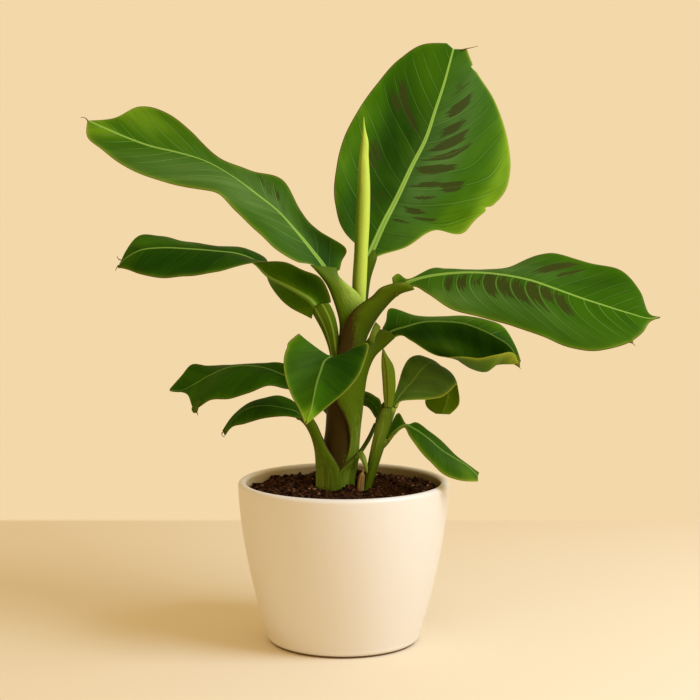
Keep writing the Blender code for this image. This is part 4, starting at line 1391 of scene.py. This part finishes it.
LOWEST_LEFT = LeafForm(
    "leaf_lowest_left",
    rib=(
        (-25, -13, 182), (-33, -17, 194), (-39, -20, 200), (-50, -25, 204), (-68, -31, 207),
        (-82, -37, 204), (-91, -41, 197), (-99, -44, 186),
    ),
    left=(
        (-37, -22, 195), (-48, -31, 198), (-67, -40, 197), (-82, -46, 194), (-91, -48, 192),
        (-98, -45, 184),
    ),
    right=(
        (-40, -15, 207), (-51, -12, 212), (-67, -16, 212), (-82, -24, 207), (-91, -34, 200),
        (-100, -43, 188),
    ),
    stalk=STALK_LOWEST_LEFT, sag=(-1, -1), fold=4, rib_width=(0.8, 0.4), ribbing=0.2,
    veins=(0.1, 0.1), margined=(0.2, 0.1), tone=-0.24,
    threads=(((-97.8, -44, 187.6), (-100.3, -44, 186), (-99.9, -43, 183.3), (-97.9, -42, 182.3)),),
)
SHOOT_BROAD = LeafForm(
    "shoot_leaf_broad",
    rib=(
        (43, -5, 202), (46, -2, 208), (52, 3, 215), (60, 10, 223), (67, 18, 231), (75, 28, 236),
        (85, 38, 232), (92, 45, 221), (92, 46, 205), (87, 43, 189),
    ),
    left=(
        (43, 0, 210), (47, 8, 221), (51, 18, 232), (57, 28, 240), (67, 38, 241), (78, 50, 235),
        (82, 58, 221), (72, 55, 199), (81, 45, 189),
    ),
    right=(
        (48, -6, 207), (60, -10, 209), (72, -8, 209), (83, -2, 210), (92, 8, 215), (98, 22, 218),
        (100, 34, 209), (101, 40, 198), (93, 41, 189),
    ),
    sag=(-1, -3), fold=3, rib_depth=(3, 1.2), rib_width=(1.2, 0.5), gap=6.2,
    veins=(0.5, 0.35), margined=(0.2, 1), rimmed=(1, 0), spacing=1.1, tone=0.08,
    light=((35, 5, 22, 40, 0.35), (110, 0, 20, 25, 0.6)), bloom=((35, 10, 26, 44, 0.95),),
)
SHOOT_DROOPING = LeafForm(
    "shoot_leaf_drooping",
    rib=(
        (38, -14, 176), (44, -18, 184), (52, -21, 189), (60, -25, 186), (71, -30, 179), (82, -34, 170),
        (94, -37, 163), (104, -39, 157), (112, -40, 149),
    ),
    left=(
        (46, -12, 198), (53, -20, 190), (61, -17, 191), (73, -18, 183), (86, -22, 172), (98, -28, 162),
        (107, -34, 156), (113, -39, 152),
    ),
    right=(
        (43, -20, 181), (51, -22, 187), (55, -30, 181), (62, -38, 172), (72, -43, 162), (84, -46, 151),
        (98, -45, 146), (112, -42, 145),
    ),
    sag=(-1, -2), fold=2.6, rib_depth=(2.6, 1.2), rib_width=(1.2, 0.5), gap=6,
    veins=(0.2, 0.12), margined=(0.3, 0.8), rimmed=(0.8, 0.2), spacing=1.1,
    light=((82, 5, 8, 10, 0.35), (45, 0, 12, 25, -0.15)), bloom=((60, 2, 8, 30, 0.3),),
)
SHOOT_BACK = LeafForm(
    "shoot_leaf_back",
    rib=((30, 2, 192), (29, 5, 198), (24, 12, 204), (18, 22, 206), (10, 32, 201), (3, 38, 190)),
    left=((27, 3, 192), (22, 8, 199), (16, 19, 200), (8, 28, 195), (2, 37, 189)),
    right=((32, 7, 204), (27, 15, 209), (20, 27, 211), (12, 36, 209), (4, 39, 192)),
    sag=(-1, -1), fold=2.4, rib_depth=(2.4, 1.2), rib_width=(1.2, 0.5), gap=6, ribbing=0.12,
    veins=(0.1, 0.1), spacing=1.1, tone=-0.05,
)
MAIN_LEAVES = (UPRIGHT, UPPER_LEFT, RIGHT, MID_LEFT, MID_RIGHT, FRONT, LOW_LEFT, LOWEST_LEFT)
SHOOT_LEAVES = (SHOOT_BROAD, SHOOT_DROOPING, SHOOT_BACK)

# The stems with their sheaths and stubs, then the two rolled leaves
COLUMN = Strap(
    left=(
        (-23, -1, 91), (-21.8, 0, 121), (-21.8, 0, 134.9), (-20, 0, 150.5), (-18.3, 0, 165.2),
        (-15.7, 0, 179.9), (-14.8, 0, 192), (-14.4, 0, 202.3), (-14, 0, 215.2), (-12.2, 0, 231.4),
        (-10.5, 0, 248.5), (-5, 0, 261), (0.5, 1.5, 269),
    ),
    right=(
        (9, -1, 91), (9, 0, 121), (9, 0, 134.9), (12.1, 0, 150.5), (13, 0, 165.2), (13.3, 0, 179.9),
        (14.1, 0, 192), (15.8, 0, 202.3), (17.5, 0, 215.2), (19.2, 0, 231.4), (20, 0, 250.2),
        (17.2, 0, 262), (13, 1.5, 270),
    ),
    front=(15, 15, 15, 15, 14.5, 14, 14, 14, 13.5, 12.5, 10, 6, 2),
    back=(16, 16, 15, 14, 14, 14, 14, 14, 13.5, 12.5, 12, 9, 3),
    maroon=(0.35, 0.4, 0.5, 0.65, 0.85, 0.9, 0.9, 0.9, 0.9, 0.95, 0.9, 0.8, 0.7), maroon_slant=-0.35,
    rimmed=0, sides=96,
)
SIDE_SHEATH = Strap(
    left=(
        (-4.6, -12, 112), (-3.7, -16, 137.9), (-2.8, -18, 150.1), (5.6, -18, 157.8), (13.3, -10, 164.9),
        (19.7, 2, 173.8), (26.2, 9, 186.4),
    ),
    right=(
        (9.9, -6, 112), (9.4, -5, 135.9), (10.7, -5, 147.8), (12.9, -7, 157.8), (16.3, -2, 163.7),
        (22.7, 4, 171.9), (29, 10, 184.5),
    ),
    front=(3, 3.5, 3.5, 2.2, 1.6, 1.6, 1.2), back=(4, 4, 4, 3, 1.6, 1.6, 1.2),
    pale=(0.3, 0.3, 0.2, 0, -0.2, -0.3, -0.3),
)
SHOOT_COLUMN = Strap(
    left=(
        (14.5, -12, 105), (13.4, -12, 124), (16.4, -12, 136), (18.9, -12, 146.6), (21.5, -12, 160),
        (24, -11, 172), (27.6, -10, 187), (31.5, -9, 199), (33.4, -9, 206),
    ),
    right=(
        (24.5, -12, 105), (22.5, -12, 124), (24.6, -12, 136), (27.9, -12, 146.6), (32, -11, 160),
        (36, -11, 172), (40.3, -9, 186), (41.6, -9, 197), (42.6, -9, 206),
    ),
    front=(4.5, 4.8, 5, 5, 5.5, 6, 5.5, 4.8, 4.6), back=(4.5, 4.8, 5, 5, 5.5, 5.5, 4, 0, -3.9),
    pale=(-0.2, -0.2, -0.15, -0.05, 0.05, 0.15, 0.2, 0.15, 0), pale_and_painted_light_slant=(-0.15,),
    maroon=(0.3, 0.3, 0.25, 0.2, 0.1, 0, 0, 0, 0), taper=9, rimmed=0, sides=48,
)
SHOOT_SIDE = Strap(
    left=((26.4, -6, 182), (27.3, -5, 190.8), (29, -4, 196.9), (31.9, -4, 203.7), (33.2, -4, 207)),
    right=((33.7, -6, 182), (34.5, -5, 190.8), (35.3, -4, 196.9), (35.3, -4, 202), (35.7, -4, 205.6)),
    front=(2, 1.8, 1.5, 1.2, 0.8), pale=(-0.3, -0.4, -0.5, -0.5, -0.4), taper=3, rimmed=0, spacing=1.2,
)
SHOOT_STUBS = (
    tube(((35, -9, 184), (40.6, -6.4, 197), (42.65, -5.2, 201.3)), (4, 3, 2.6), pale=(0, 0.3, 0.9)),
    tube(((32, -8, 181), (31, -3, 187), (30.4, 0.2, 190)), (3.5, 2.5, 1.9)),
    tube(((30, -10, 168), (36, -13, 173.6), (37.6, -13.8, 175.4)), (3.5, 2.8, 2.5), pale=(0.4,)),
)
ROLLED_STUB = tube(((9, -1, 246), (12.9, 4.6, 262), (13.3, 6, 272.8)), (6, 4.8, 4.1), pale=(0.5, 0.9, 1))
RIBBON = Strap(
    left=(
        (10.8, -19.5, 165.2), (13.6, -19.5, 160.8), (16, -19.5, 156.5), (18.2, -19.5, 152.3),
        (19.2, -19.5, 148.4),
    ),
    right=(
        (16, -19, 166.8), (18.8, -19, 162), (20, -19.3, 157.4), (20.6, -19.5, 153.1), (20.5, -19.5, 148.6),
    ),
    front=(0.6,), pale=(0.1, 0.4, 0.5, 0.5, 0.5), rimmed=0, sides=16, spacing=0.8,
)
DRY_SHEATH = Strap(
    left=(
        (12.2, -15, 126), (11.6, -17.6, 133), (11.9, -18.2, 139), (13.2, -18.5, 145.8), (15.3, -19, 151.4),
    ),
    right=(
        (17.4, -16, 126), (17.4, -18, 133), (17.7, -18.6, 139), (18.1, -19, 145.8), (18.5, -19.2, 150.1),
    ),
    front=(2, 2, 1.8, 1.4, 0.7), back=(2.6, 2.6, 2.5, 2, 1.2), taper=6, rimmed=0, dry=1, sides=24,
    spacing=0.8,
)
SPEAR = Strap(
    left=(
        (9.2, 6, 272.8), (8.2, 6, 285), (7.3, 6, 300), (9, 6, 334.8), (9.8, 6, 360.9), (11.5, 6, 388.7),
        (13.2, 6, 413), (15.2, 6, 428.7), (16, 6, 433.9), (16.5, 6, 439.7), (16.9, 6, 446.4),
    ),
    right=(
        (17.4, 6, 272.8), (18.2, 6, 285), (19.2, 6, 300), (20.8, 6, 334.8), (22.2, 6, 360.9),
        (22.5, 6, 388.7), (21.3, 6, 413), (20.6, 6, 428.7), (19.2, 6, 433.9), (18.1, 6, 439.7),
        (17.3, 6, 446.4),
    ),
    front=(4, 5, 5.8, 6, 6.1, 5.6, 4.1, 2.6, 1.6, 0.8, 0.2), lip=0.09, rimmed=0, sides=64, spacing=1.2,
)
SHOOT_SPEAR = Strap(
    left=(
        (34.6, -9, 203), (33.5, -9, 212.9), (32.6, -9, 225.7), (31.8, -8.5, 239.3), (32.2, -8, 246.9),
        (33.1, -8, 252.8),
    ),
    right=(
        (41.4, -9, 203), (43.4, -9, 212.9), (43.9, -9, 225.7), (41.5, -8.5, 239.3), (36.8, -8, 246.9),
        (33.8, -8, 252.8),
    ),
    front=(3, 3.6, 4, 3.4, 2.2, 0.4), lip=0.16, lap=1.85, rimmed=0, sides=56, spacing=1,
)

# The looks of the two rolled leaves
YOUNG = RolledFinish("young_leaf", linear(190, 207, 80), linear(86, 122, 6), linear(84, 106, 14), SPEAR.lap)
YOUNG_SHOOT = RolledFinish(
    "young_shoot_leaf", linear(98, 124, 12), linear(120, 132, 40), linear(76, 72, 8), SHOOT_SPEAR.lap, 0.75
)


class Planter:
    """The planter: a rounded rim, a wall of one thickness, a thick floor and a shallow foot."""

    @staticmethod
    def radius(height: Array) -> Array:
        """The outer radius: the rim's less the taper times (1 - height / planter height) to the swell.

        Args:
            height: heights above the surface.

        Returns:
            The radius at each.
        """
        return RIM_RADIUS - (RIM_RADIUS - BASE_RADIUS) * (1 - height / POT_HEIGHT) ** SWELL

    @staticmethod
    def arc(centre: Pair, radius: float, start: float, stop: float, steps: int) -> Array:
        """A round corner of the profile.

        Args:
            centre: its centre as radius and height.
            radius: its radius.
            start: the angle in degrees where it starts.
            stop: the angle where it stops.
            steps: how many steps it has.

        Returns:
            Its points as radius and height.
        """
        turn = np.radians(np.linspace(start, stop, steps + 1))
        return np.stack([centre[0] + radius * np.cos(turn), centre[1] + radius * np.sin(turn)], axis=1)

    def profile(self) -> Array:
        """The profile from the middle of the floor over the rim to the foot. Returns: radii and heights."""
        lip = WALL / 2
        shoulder, low = POT_HEIGHT - lip, BASE_ROUNDING + FOOT_HEIGHT
        inner = np.linspace(FLOOR, shoulder, INNER_STEPS)[:-1]
        outer = np.linspace(shoulder, low, OUTER_STEPS)[1:-1]
        rim = self.arc((self.radius(shoulder) - lip, shoulder), lip, 180, 0, RIM_STEPS)
        corner = self.arc((self.radius(low) - BASE_ROUNDING, low), BASE_ROUNDING, 0, -90, CORNER_STEPS)
        inner, outer = (
            np.stack([self.radius(heights) - wall, heights], axis=1)
            for heights, wall in ((inner, WALL), (outer, 0.0))
        )
        foot = np.array([(FOOT_RADIUS, FOOT_HEIGHT), (FOOT_RADIUS, 0.0), (FOOT_RADIUS / 2, 0.0)])
        return np.concatenate([[(FOOT_RADIUS / 2, FLOOR)], inner, rim, outer, corner, foot])

    def build(self, glaze: Material) -> Object:
        """Builds the planter. Args: its material. Returns: the piece."""
        profile = self.profile()
        turn = np.linspace(0, 2 * math.pi, POT_STEPS, endpoint=False)
        rows = turned(profile, turn)
        heights = np.broadcast_to(profile[:, 1:2], rows.shape[:2])
        chart = np.stack(np.broadcast_arrays(turn[None] * RIM_RADIUS, heights), axis=-1)
        step = np.arange(len(profile))[:, None]
        # The inner wall and the inside of the rim carry the glaze's painted light and shade, darker towards
        # the right.
        inside = 1.0 - smooth_step(INNER_STEPS, INNER_STEPS + RIM_STEPS / 2 - 1, step)
        fields = {
            "bare": (heights < BARE_HEIGHT).astype(float),
            "inside": np.broadcast_to(inside, rows.shape[:2]),
            "shaded": np.broadcast_to(0.5 + 0.5 * np.cos(turn)[None], rows.shape[:2]),
        }
        return make_piece("planter_look", [loft(rows, chart, fields)], [glaze])


def turned(profile: Array, turn: Array) -> Array:
    """Rings of points about the upright axis.

    Args:
        profile: radius and height of each ring.
        turn: the angles of its points.

    Returns:
        The points, one ring a row: radius times cosine, radius times sine, and the height.
    """
    radius, height = profile[:, :1], profile[:, 1:]
    return np.stack(np.broadcast_arrays(radius * np.cos(turn), radius * np.sin(turn), height), axis=-1)


def scattered(draw: np.random.Generator, count: int, reach: float) -> tuple[Array, Array]:
    """Places spread evenly over a disc. Args: the draws, how many and its radius. Returns: x and y."""
    turn = draw.uniform(0, 2 * math.pi, count)
    away = reach * np.sqrt(draw.random(count))
    return away * np.cos(turn), away * np.sin(turn)


@dataclass(frozen=True)
class Hole:
    """A hole in the soil for a stem's foot: its middle, radius and bottom, and how far crumbs reach in."""

    x: float
    y: float
    radius: float
    bottom: float
    overlap: float

    def away(self, x: Array, y: Array) -> Array:
        """How far places are from its middle. Args: x, y are the places. Returns: the distances."""
        return np.hypot(x - self.x, y - self.y)


@dataclass(frozen=True)
class Clods:
    """A size of clod: how many there are, and their radii and heights."""

    count: int
    radii: Pair
    heights: Pair


@dataclass(frozen=True)
class Crumbs:
    """A kind of loose crumb: how many there are, their radii, how thin they are, and their tones."""

    count: int
    sizes: Pair
    flat: float
    tones: Pair


HOLES = (Hole(-7, -1, 18.3, 90.7, 1), Hole(18.9, -12, 6.9, 104.7, 0.5))
CLODS = (Clods(90, (5, 9), (1.2, 3.4)), Clods(420, (1.8, 4.2), (0.5, 1.7)))
CRUMBS = (Crumbs(2600, (0.5, 2.3), 0.7, (0.1, 0.9)), Crumbs(70, (1.2, 2.6), 0.35, (0.7, 1.15)))


class Soil:
    """The soil: a lumpy top with a hole for each stem's foot, and loose crumbs lying on it."""

    def __init__(self) -> None:
        """Draws the clods of both sizes: the place, radius and height of each."""
        self.draw = np.random.default_rng(CLOD_SEED)
        self.clods = []
        for kind in CLODS:
            x, y = scattered(self.draw, kind.count, RIM_RADIUS - WALL)
            sizes = (self.draw.uniform(*ends, kind.count) for ends in (kind.radii, kind.heights))
            self.clods.append(np.stack([x, y, *sizes], axis=1))

    def height(self, x: Array, y: Array) -> Array:
        """How far the soil stands above its edge.

        Args:
            x, y: the places.

        Returns:
            A heap behind the main stem, plus for each size of clod the tallest dome there, a dome being
            its height times the square root of (1 - the distance over its radius, squared).
        """
        along, across = (x - HEAP_PLACE[0]) / HEAP_SPREAD[0], (y - HEAP_PLACE[1]) / HEAP_SPREAD[1]
        rise = SOIL_HEAP * np.exp(-(along**2) - across**2)
        for lumps in self.clods:
            away = (x[:, None] - lumps[:, 0]) ** 2 + (y[:, None] - lumps[:, 1]) ** 2
            dome = lumps[:, 3] * np.sqrt(np.clip(1 - away / lumps[:, 2] ** 2, 0, None))
            rise = rise + dome.max(axis=1)
        return rise

    def ground(self) -> Shell:
        """Builds the body of soil. Returns: the shell."""
        sides = np.linspace(FLOOR + SOIL_GAP, SOIL_EDGE, SIDE_RINGS)
        side = np.stack([Planter.radius(sides) - WALL - SOIL_GAP, sides], axis=1)
        inward = np.linspace(side[-1, 0], SOIL_MIDDLE, SOIL_RINGS)[1:]
        top = np.stack([inward, np.full(len(inward), SOIL_EDGE)], axis=1)
        turn = np.linspace(0, 2 * math.pi, SOIL_STEPS, endpoint=False)
        rows = turned(np.concatenate([[(SOIL_MIDDLE, FLOOR + SOIL_GAP)], side, top]), turn)
        above = rows[SIDE_RINGS + 1 :]
        flat = above.reshape(-1, 3)
        rise = self.height(flat[:, 0], flat[:, 1])
        rim = np.hypot(flat[:, 0], flat[:, 1])
        flat[:, 2] = flat[:, 2] + rise * smooth_step(0, SOIL_RISE, side[-1, 0] - rim)
        for hole in HOLES:
            flat[hole.away(flat[:, 0], flat[:, 1]) < hole.radius, 2] = hole.bottom
        rows[SIDE_RINGS + 1 :] = flat.reshape(above.shape)
        return loft(rows, rows[..., :2], {"tone": np.full(rows.shape[:2], GROUND_TONE)})

    @staticmethod
    def lump() -> tuple[Array, Array]:
        """A lump of twelve corners and twenty triangles. Returns: the corners, at radius 1, and the faces."""
        golden = (1 + math.sqrt(5)) / 2
        ends = [(0, a, b * golden) for a in (-1, 1) for b in (-1, 1)]
        corners = unit(np.array([p[k:] + p[:k] for k in range(3) for p in ends], float))
        gaps = np.linalg.norm(corners[:, None] - corners[None], axis=-1)
        near = (gaps > LUMP_EDGE[0]) & (gaps < LUMP_EDGE[1])
        triples = [(i, j, k) for i in range(12) for j in range(i) for k in range(j)]
        faces = np.array([(i, j, k) for i, j, k in triples if near[i, j] and near[j, k] and near[i, k]])
        a, b, c = (corners[faces[:, corner]] for corner in range(3))
        inward = np.einsum("ij,ij->i", a, np.cross(b, c)) < 0
        faces[inward] = faces[inward][:, ::-1]
        return corners, faces

    def loose(self, kind: Crumbs) -> Shell:
        """Scatters crumbs of one kind over the top. Args: the kind. Returns: the shell of all of them."""
        corners, faces = self.lump()
        draw = self.draw
        x, y = scattered(draw, kind.count, CRUMB_REACH)
        clear = np.all([hole.away(x, y) > hole.radius - hole.overlap for hole in HOLES], axis=0)
        x, y = x[clear], y[clear]
        count = len(x)
        size = between(kind.sizes, draw.random(count) ** CRUMB_RARITY)
        frames = np.linalg.qr(draw.normal(size=(count, 3, 3)))[0]
        trim = draw.uniform(*CRUMB_TRIM, (count, len(corners), 1))
        shape = corners[None] * trim * np.array([1.0, CRUMB_BREADTH, kind.flat])
        place = np.stack([x, y, SOIL_EDGE + self.height(x, y) + size * CRUMB_LIFT], 1)
        points = np.einsum("nij,nkj->nki", frames, shape) * size[:, None, None] + place[:, None]
        triangles = (faces[None] + len(corners) * np.arange(count)[:, None, None]).reshape(-1, 3)
        tone = np.repeat(draw.uniform(*kind.tones, count), len(corners))
        points = points.reshape(-1, 3)
        return Shell(points, np.empty((0, 4), int), triangles, points[:, :2], {"tone": tone})

    def build(self, earth: Material) -> Object:
        """Builds the soil. Args: its material. Returns: the piece."""
        return make_piece("soil_look", [self.ground(), *map(self.loose, CRUMBS)], [earth])


@dataclass(frozen=True)
class Studio:
    """The plain pale room: its colours, its one soft key light and the camera at the photo's angle."""

    wall: Colour = linear(243, 216, 170)
    floor: Colour = (0.82, 0.70, 0.50)
    floor_rough: float = 0.75
    ambient: Colour = (0.775, 0.58, 0.305)
    near_edge: float = -6000.0
    far_edge: float = 495.0
    half_width: float = 4000.0
    fade: Pair = (10.0, 6.0)
    key_place: Point = (1000.0, -510.0, 1120.0)
    key_target: Point = (0.0, 0.0, 200.0)
    key_size: float = 0.9
    key_energy: float = 18.0
    key_colour: Colour = (0.83, 1.0, 1.27)
    camera_place: Point = (5.6, -1450.0, 407.0)
    camera_pitch: float = 83.83
    camera_lens: float = 88.4

    def build(self) -> None:
        """Builds the room, the light and the camera."""
        bpy.context.scene.view_settings.view_transform = "Standard"
        self.make_room()
        self.make_floor()
        self.make_key()
        self.make_camera()

    @staticmethod
    def place(name: str, data: bpy.types.ID) -> Object:
        """Puts an object in the scene. Args: its name, and its mesh, light or camera. Returns: the object."""
        made = bpy.data.objects.new(name, data)
        bpy.context.scene.collection.objects.link(made)
        return made

    def make_room(self) -> None:
        """Makes the wall as the eye sees it, and the softer, warmer light that it throws on the plant."""
        world = bpy.data.worlds.new("room")
        world.use_nodes = True
        nodes, links = world.node_tree.nodes, world.node_tree.links
        seen, thrown = nodes["Background"], nodes.new("ShaderNodeBackground")
        seen.inputs["Color"].default_value = (*self.wall, 1.0)
        thrown.inputs["Color"].default_value = (*self.ambient, 1.0)
        path, blend = nodes.new("ShaderNodeLightPath"), nodes.new("ShaderNodeMixShader")
        links.new(path.outputs["Is Camera Ray"], blend.inputs[0])
        links.new(thrown.outputs[0], blend.inputs[1])
        links.new(seen.outputs[0], blend.inputs[2])
        links.new(blend.outputs[0], nodes["World Output"].inputs["Surface"])
        bpy.context.scene.world = world

    def make_floor(self) -> None:
        """Makes the surface that the planter stands on, with an edge that fades into the wall."""
        g = Graph("floor")
        where = g.place()
        y = g.split(where)[1]
        fade = [(self.far_edge - self.fade[0]) * MM, (self.far_edge + self.fade[1]) * MM]
        far = y.rise(*fade)
        colour = g.mix((g.noise(where, 40.0) - 0.5) * 0.06, self.floor, self.wall)
        shader = g.node("ShaderNodeBsdfPrincipled", {}, {"Base Color": colour, "Roughness": self.floor_rough})
        clear = g.node("ShaderNodeBsdfTransparent", {}, {})
        blend = g.node("ShaderNodeMixShader", {}, {0: far, 1: shader, 2: clear})
        g.node("ShaderNodeOutputMaterial", {}, {"Surface": blend})
        mesh = bpy.data.meshes.new("floor")
        wide, near, back = self.half_width * MM, self.near_edge * MM, fade[1]
        corners = [(-wide, near, 0), (wide, near, 0), (wide, back, 0), (-wide, back, 0)]
        mesh.from_pydata(corners, [], [(0, 1, 2, 3)])
        mesh.materials.append(g.material)
        floor = self.place("floor", mesh)

    def make_key(self) -> None:
        """Makes the key light, high on the right and a little in front, aimed at the plant."""
        light = bpy.data.lights.new("key", "AREA")
        light.shape = "DISK"
        light.size = self.key_size
        light.energy = self.key_energy
        light.color = self.key_colour
        key = self.place("key", light)
        place = np.array(self.key_place) * MM
        x, y, z = place - np.array(self.key_target) * MM
        key.location = tuple(place)
        key.rotation_euler = (math.atan2(math.hypot(x, y), z), 0.0, math.atan2(y, x) + math.pi / 2)

    def make_camera(self) -> None:
        """Makes the camera at the photo's place and angle."""
        lens = bpy.data.cameras.new("camera")
        lens.lens = self.camera_lens
        camera = self.place("camera", lens)
        camera.location = tuple(part * MM for part in self.camera_place)
        camera.rotation_euler = (math.radians(self.camera_pitch), 0.0, 0.0)
        bpy.context.scene.camera = camera


class Plant:
    """The whole object: the planter, the soil, both stems and all leaves."""

    def __init__(self) -> None:
        """Builds the materials."""
        gaps = sorted({form.gap for form in (*MAIN_LEAVES, *SHOOT_LEAVES)})
        self.leaf = {gap: LeafFinish(f"leaf_{gap:g}", gap).build() for gap in gaps}
        self.stem = StemFinish().build()
        self.glaze = GlazeFinish().build()
        self.earth = SoilFinish().build()
        self.young, self.young_shoot = (finish.build() for finish in (YOUNG, YOUNG_SHOOT))

    @staticmethod
    def stand_in(piece: Object, node: str, slot: str) -> None:
        """Puts a piece in a node's place. Args: the piece, the node, and slot, which is not used."""
        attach(piece, "root")
        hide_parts(node)

    def build(self) -> None:
        """Builds every piece."""
        self.stand_in(Planter().build(self.glaze), "pot", "glaze")
        self.stand_in(Soil().build(self.earth), "soil", "soil")
        straps = [strap.shell() for strap in (COLUMN, SIDE_SHEATH, ROLLED_STUB)]
        straps += [form.stalk.shell(0.0, form.stalk.join) for form in MAIN_LEAVES]
        self.stand_in(make_piece("main_stem_look", straps, [self.stem]), "main_stem", "stem")
        straps = [strap.shell() for strap in (SHOOT_COLUMN, SHOOT_SIDE, *SHOOT_STUBS, RIBBON, DRY_SHEATH)]
        self.stand_in(make_piece("shoot_stem_look", straps, [self.stem]), "shoot_stem", "stem")
        for form in (*MAIN_LEAVES, *SHOOT_LEAVES):
            self.stand_in(Leaf(form).build(self.leaf[form.gap], self.stem), form.name, "leaf")
        rolled = (("rolled_leaf", SPEAR, self.young), ("shoot_rolled_leaf", SHOOT_SPEAR, self.young_shoot))
        for node, spear, young in rolled:
            self.stand_in(make_piece(node + "_look", [spear.shell()], [young]), node, "young_leaf")


def main() -> None:
    """Builds the plant and the studio."""
    logging.basicConfig(level=logging.INFO)
    Studio().build()
    Plant().build()


if __name__ == "__main__":
    main()
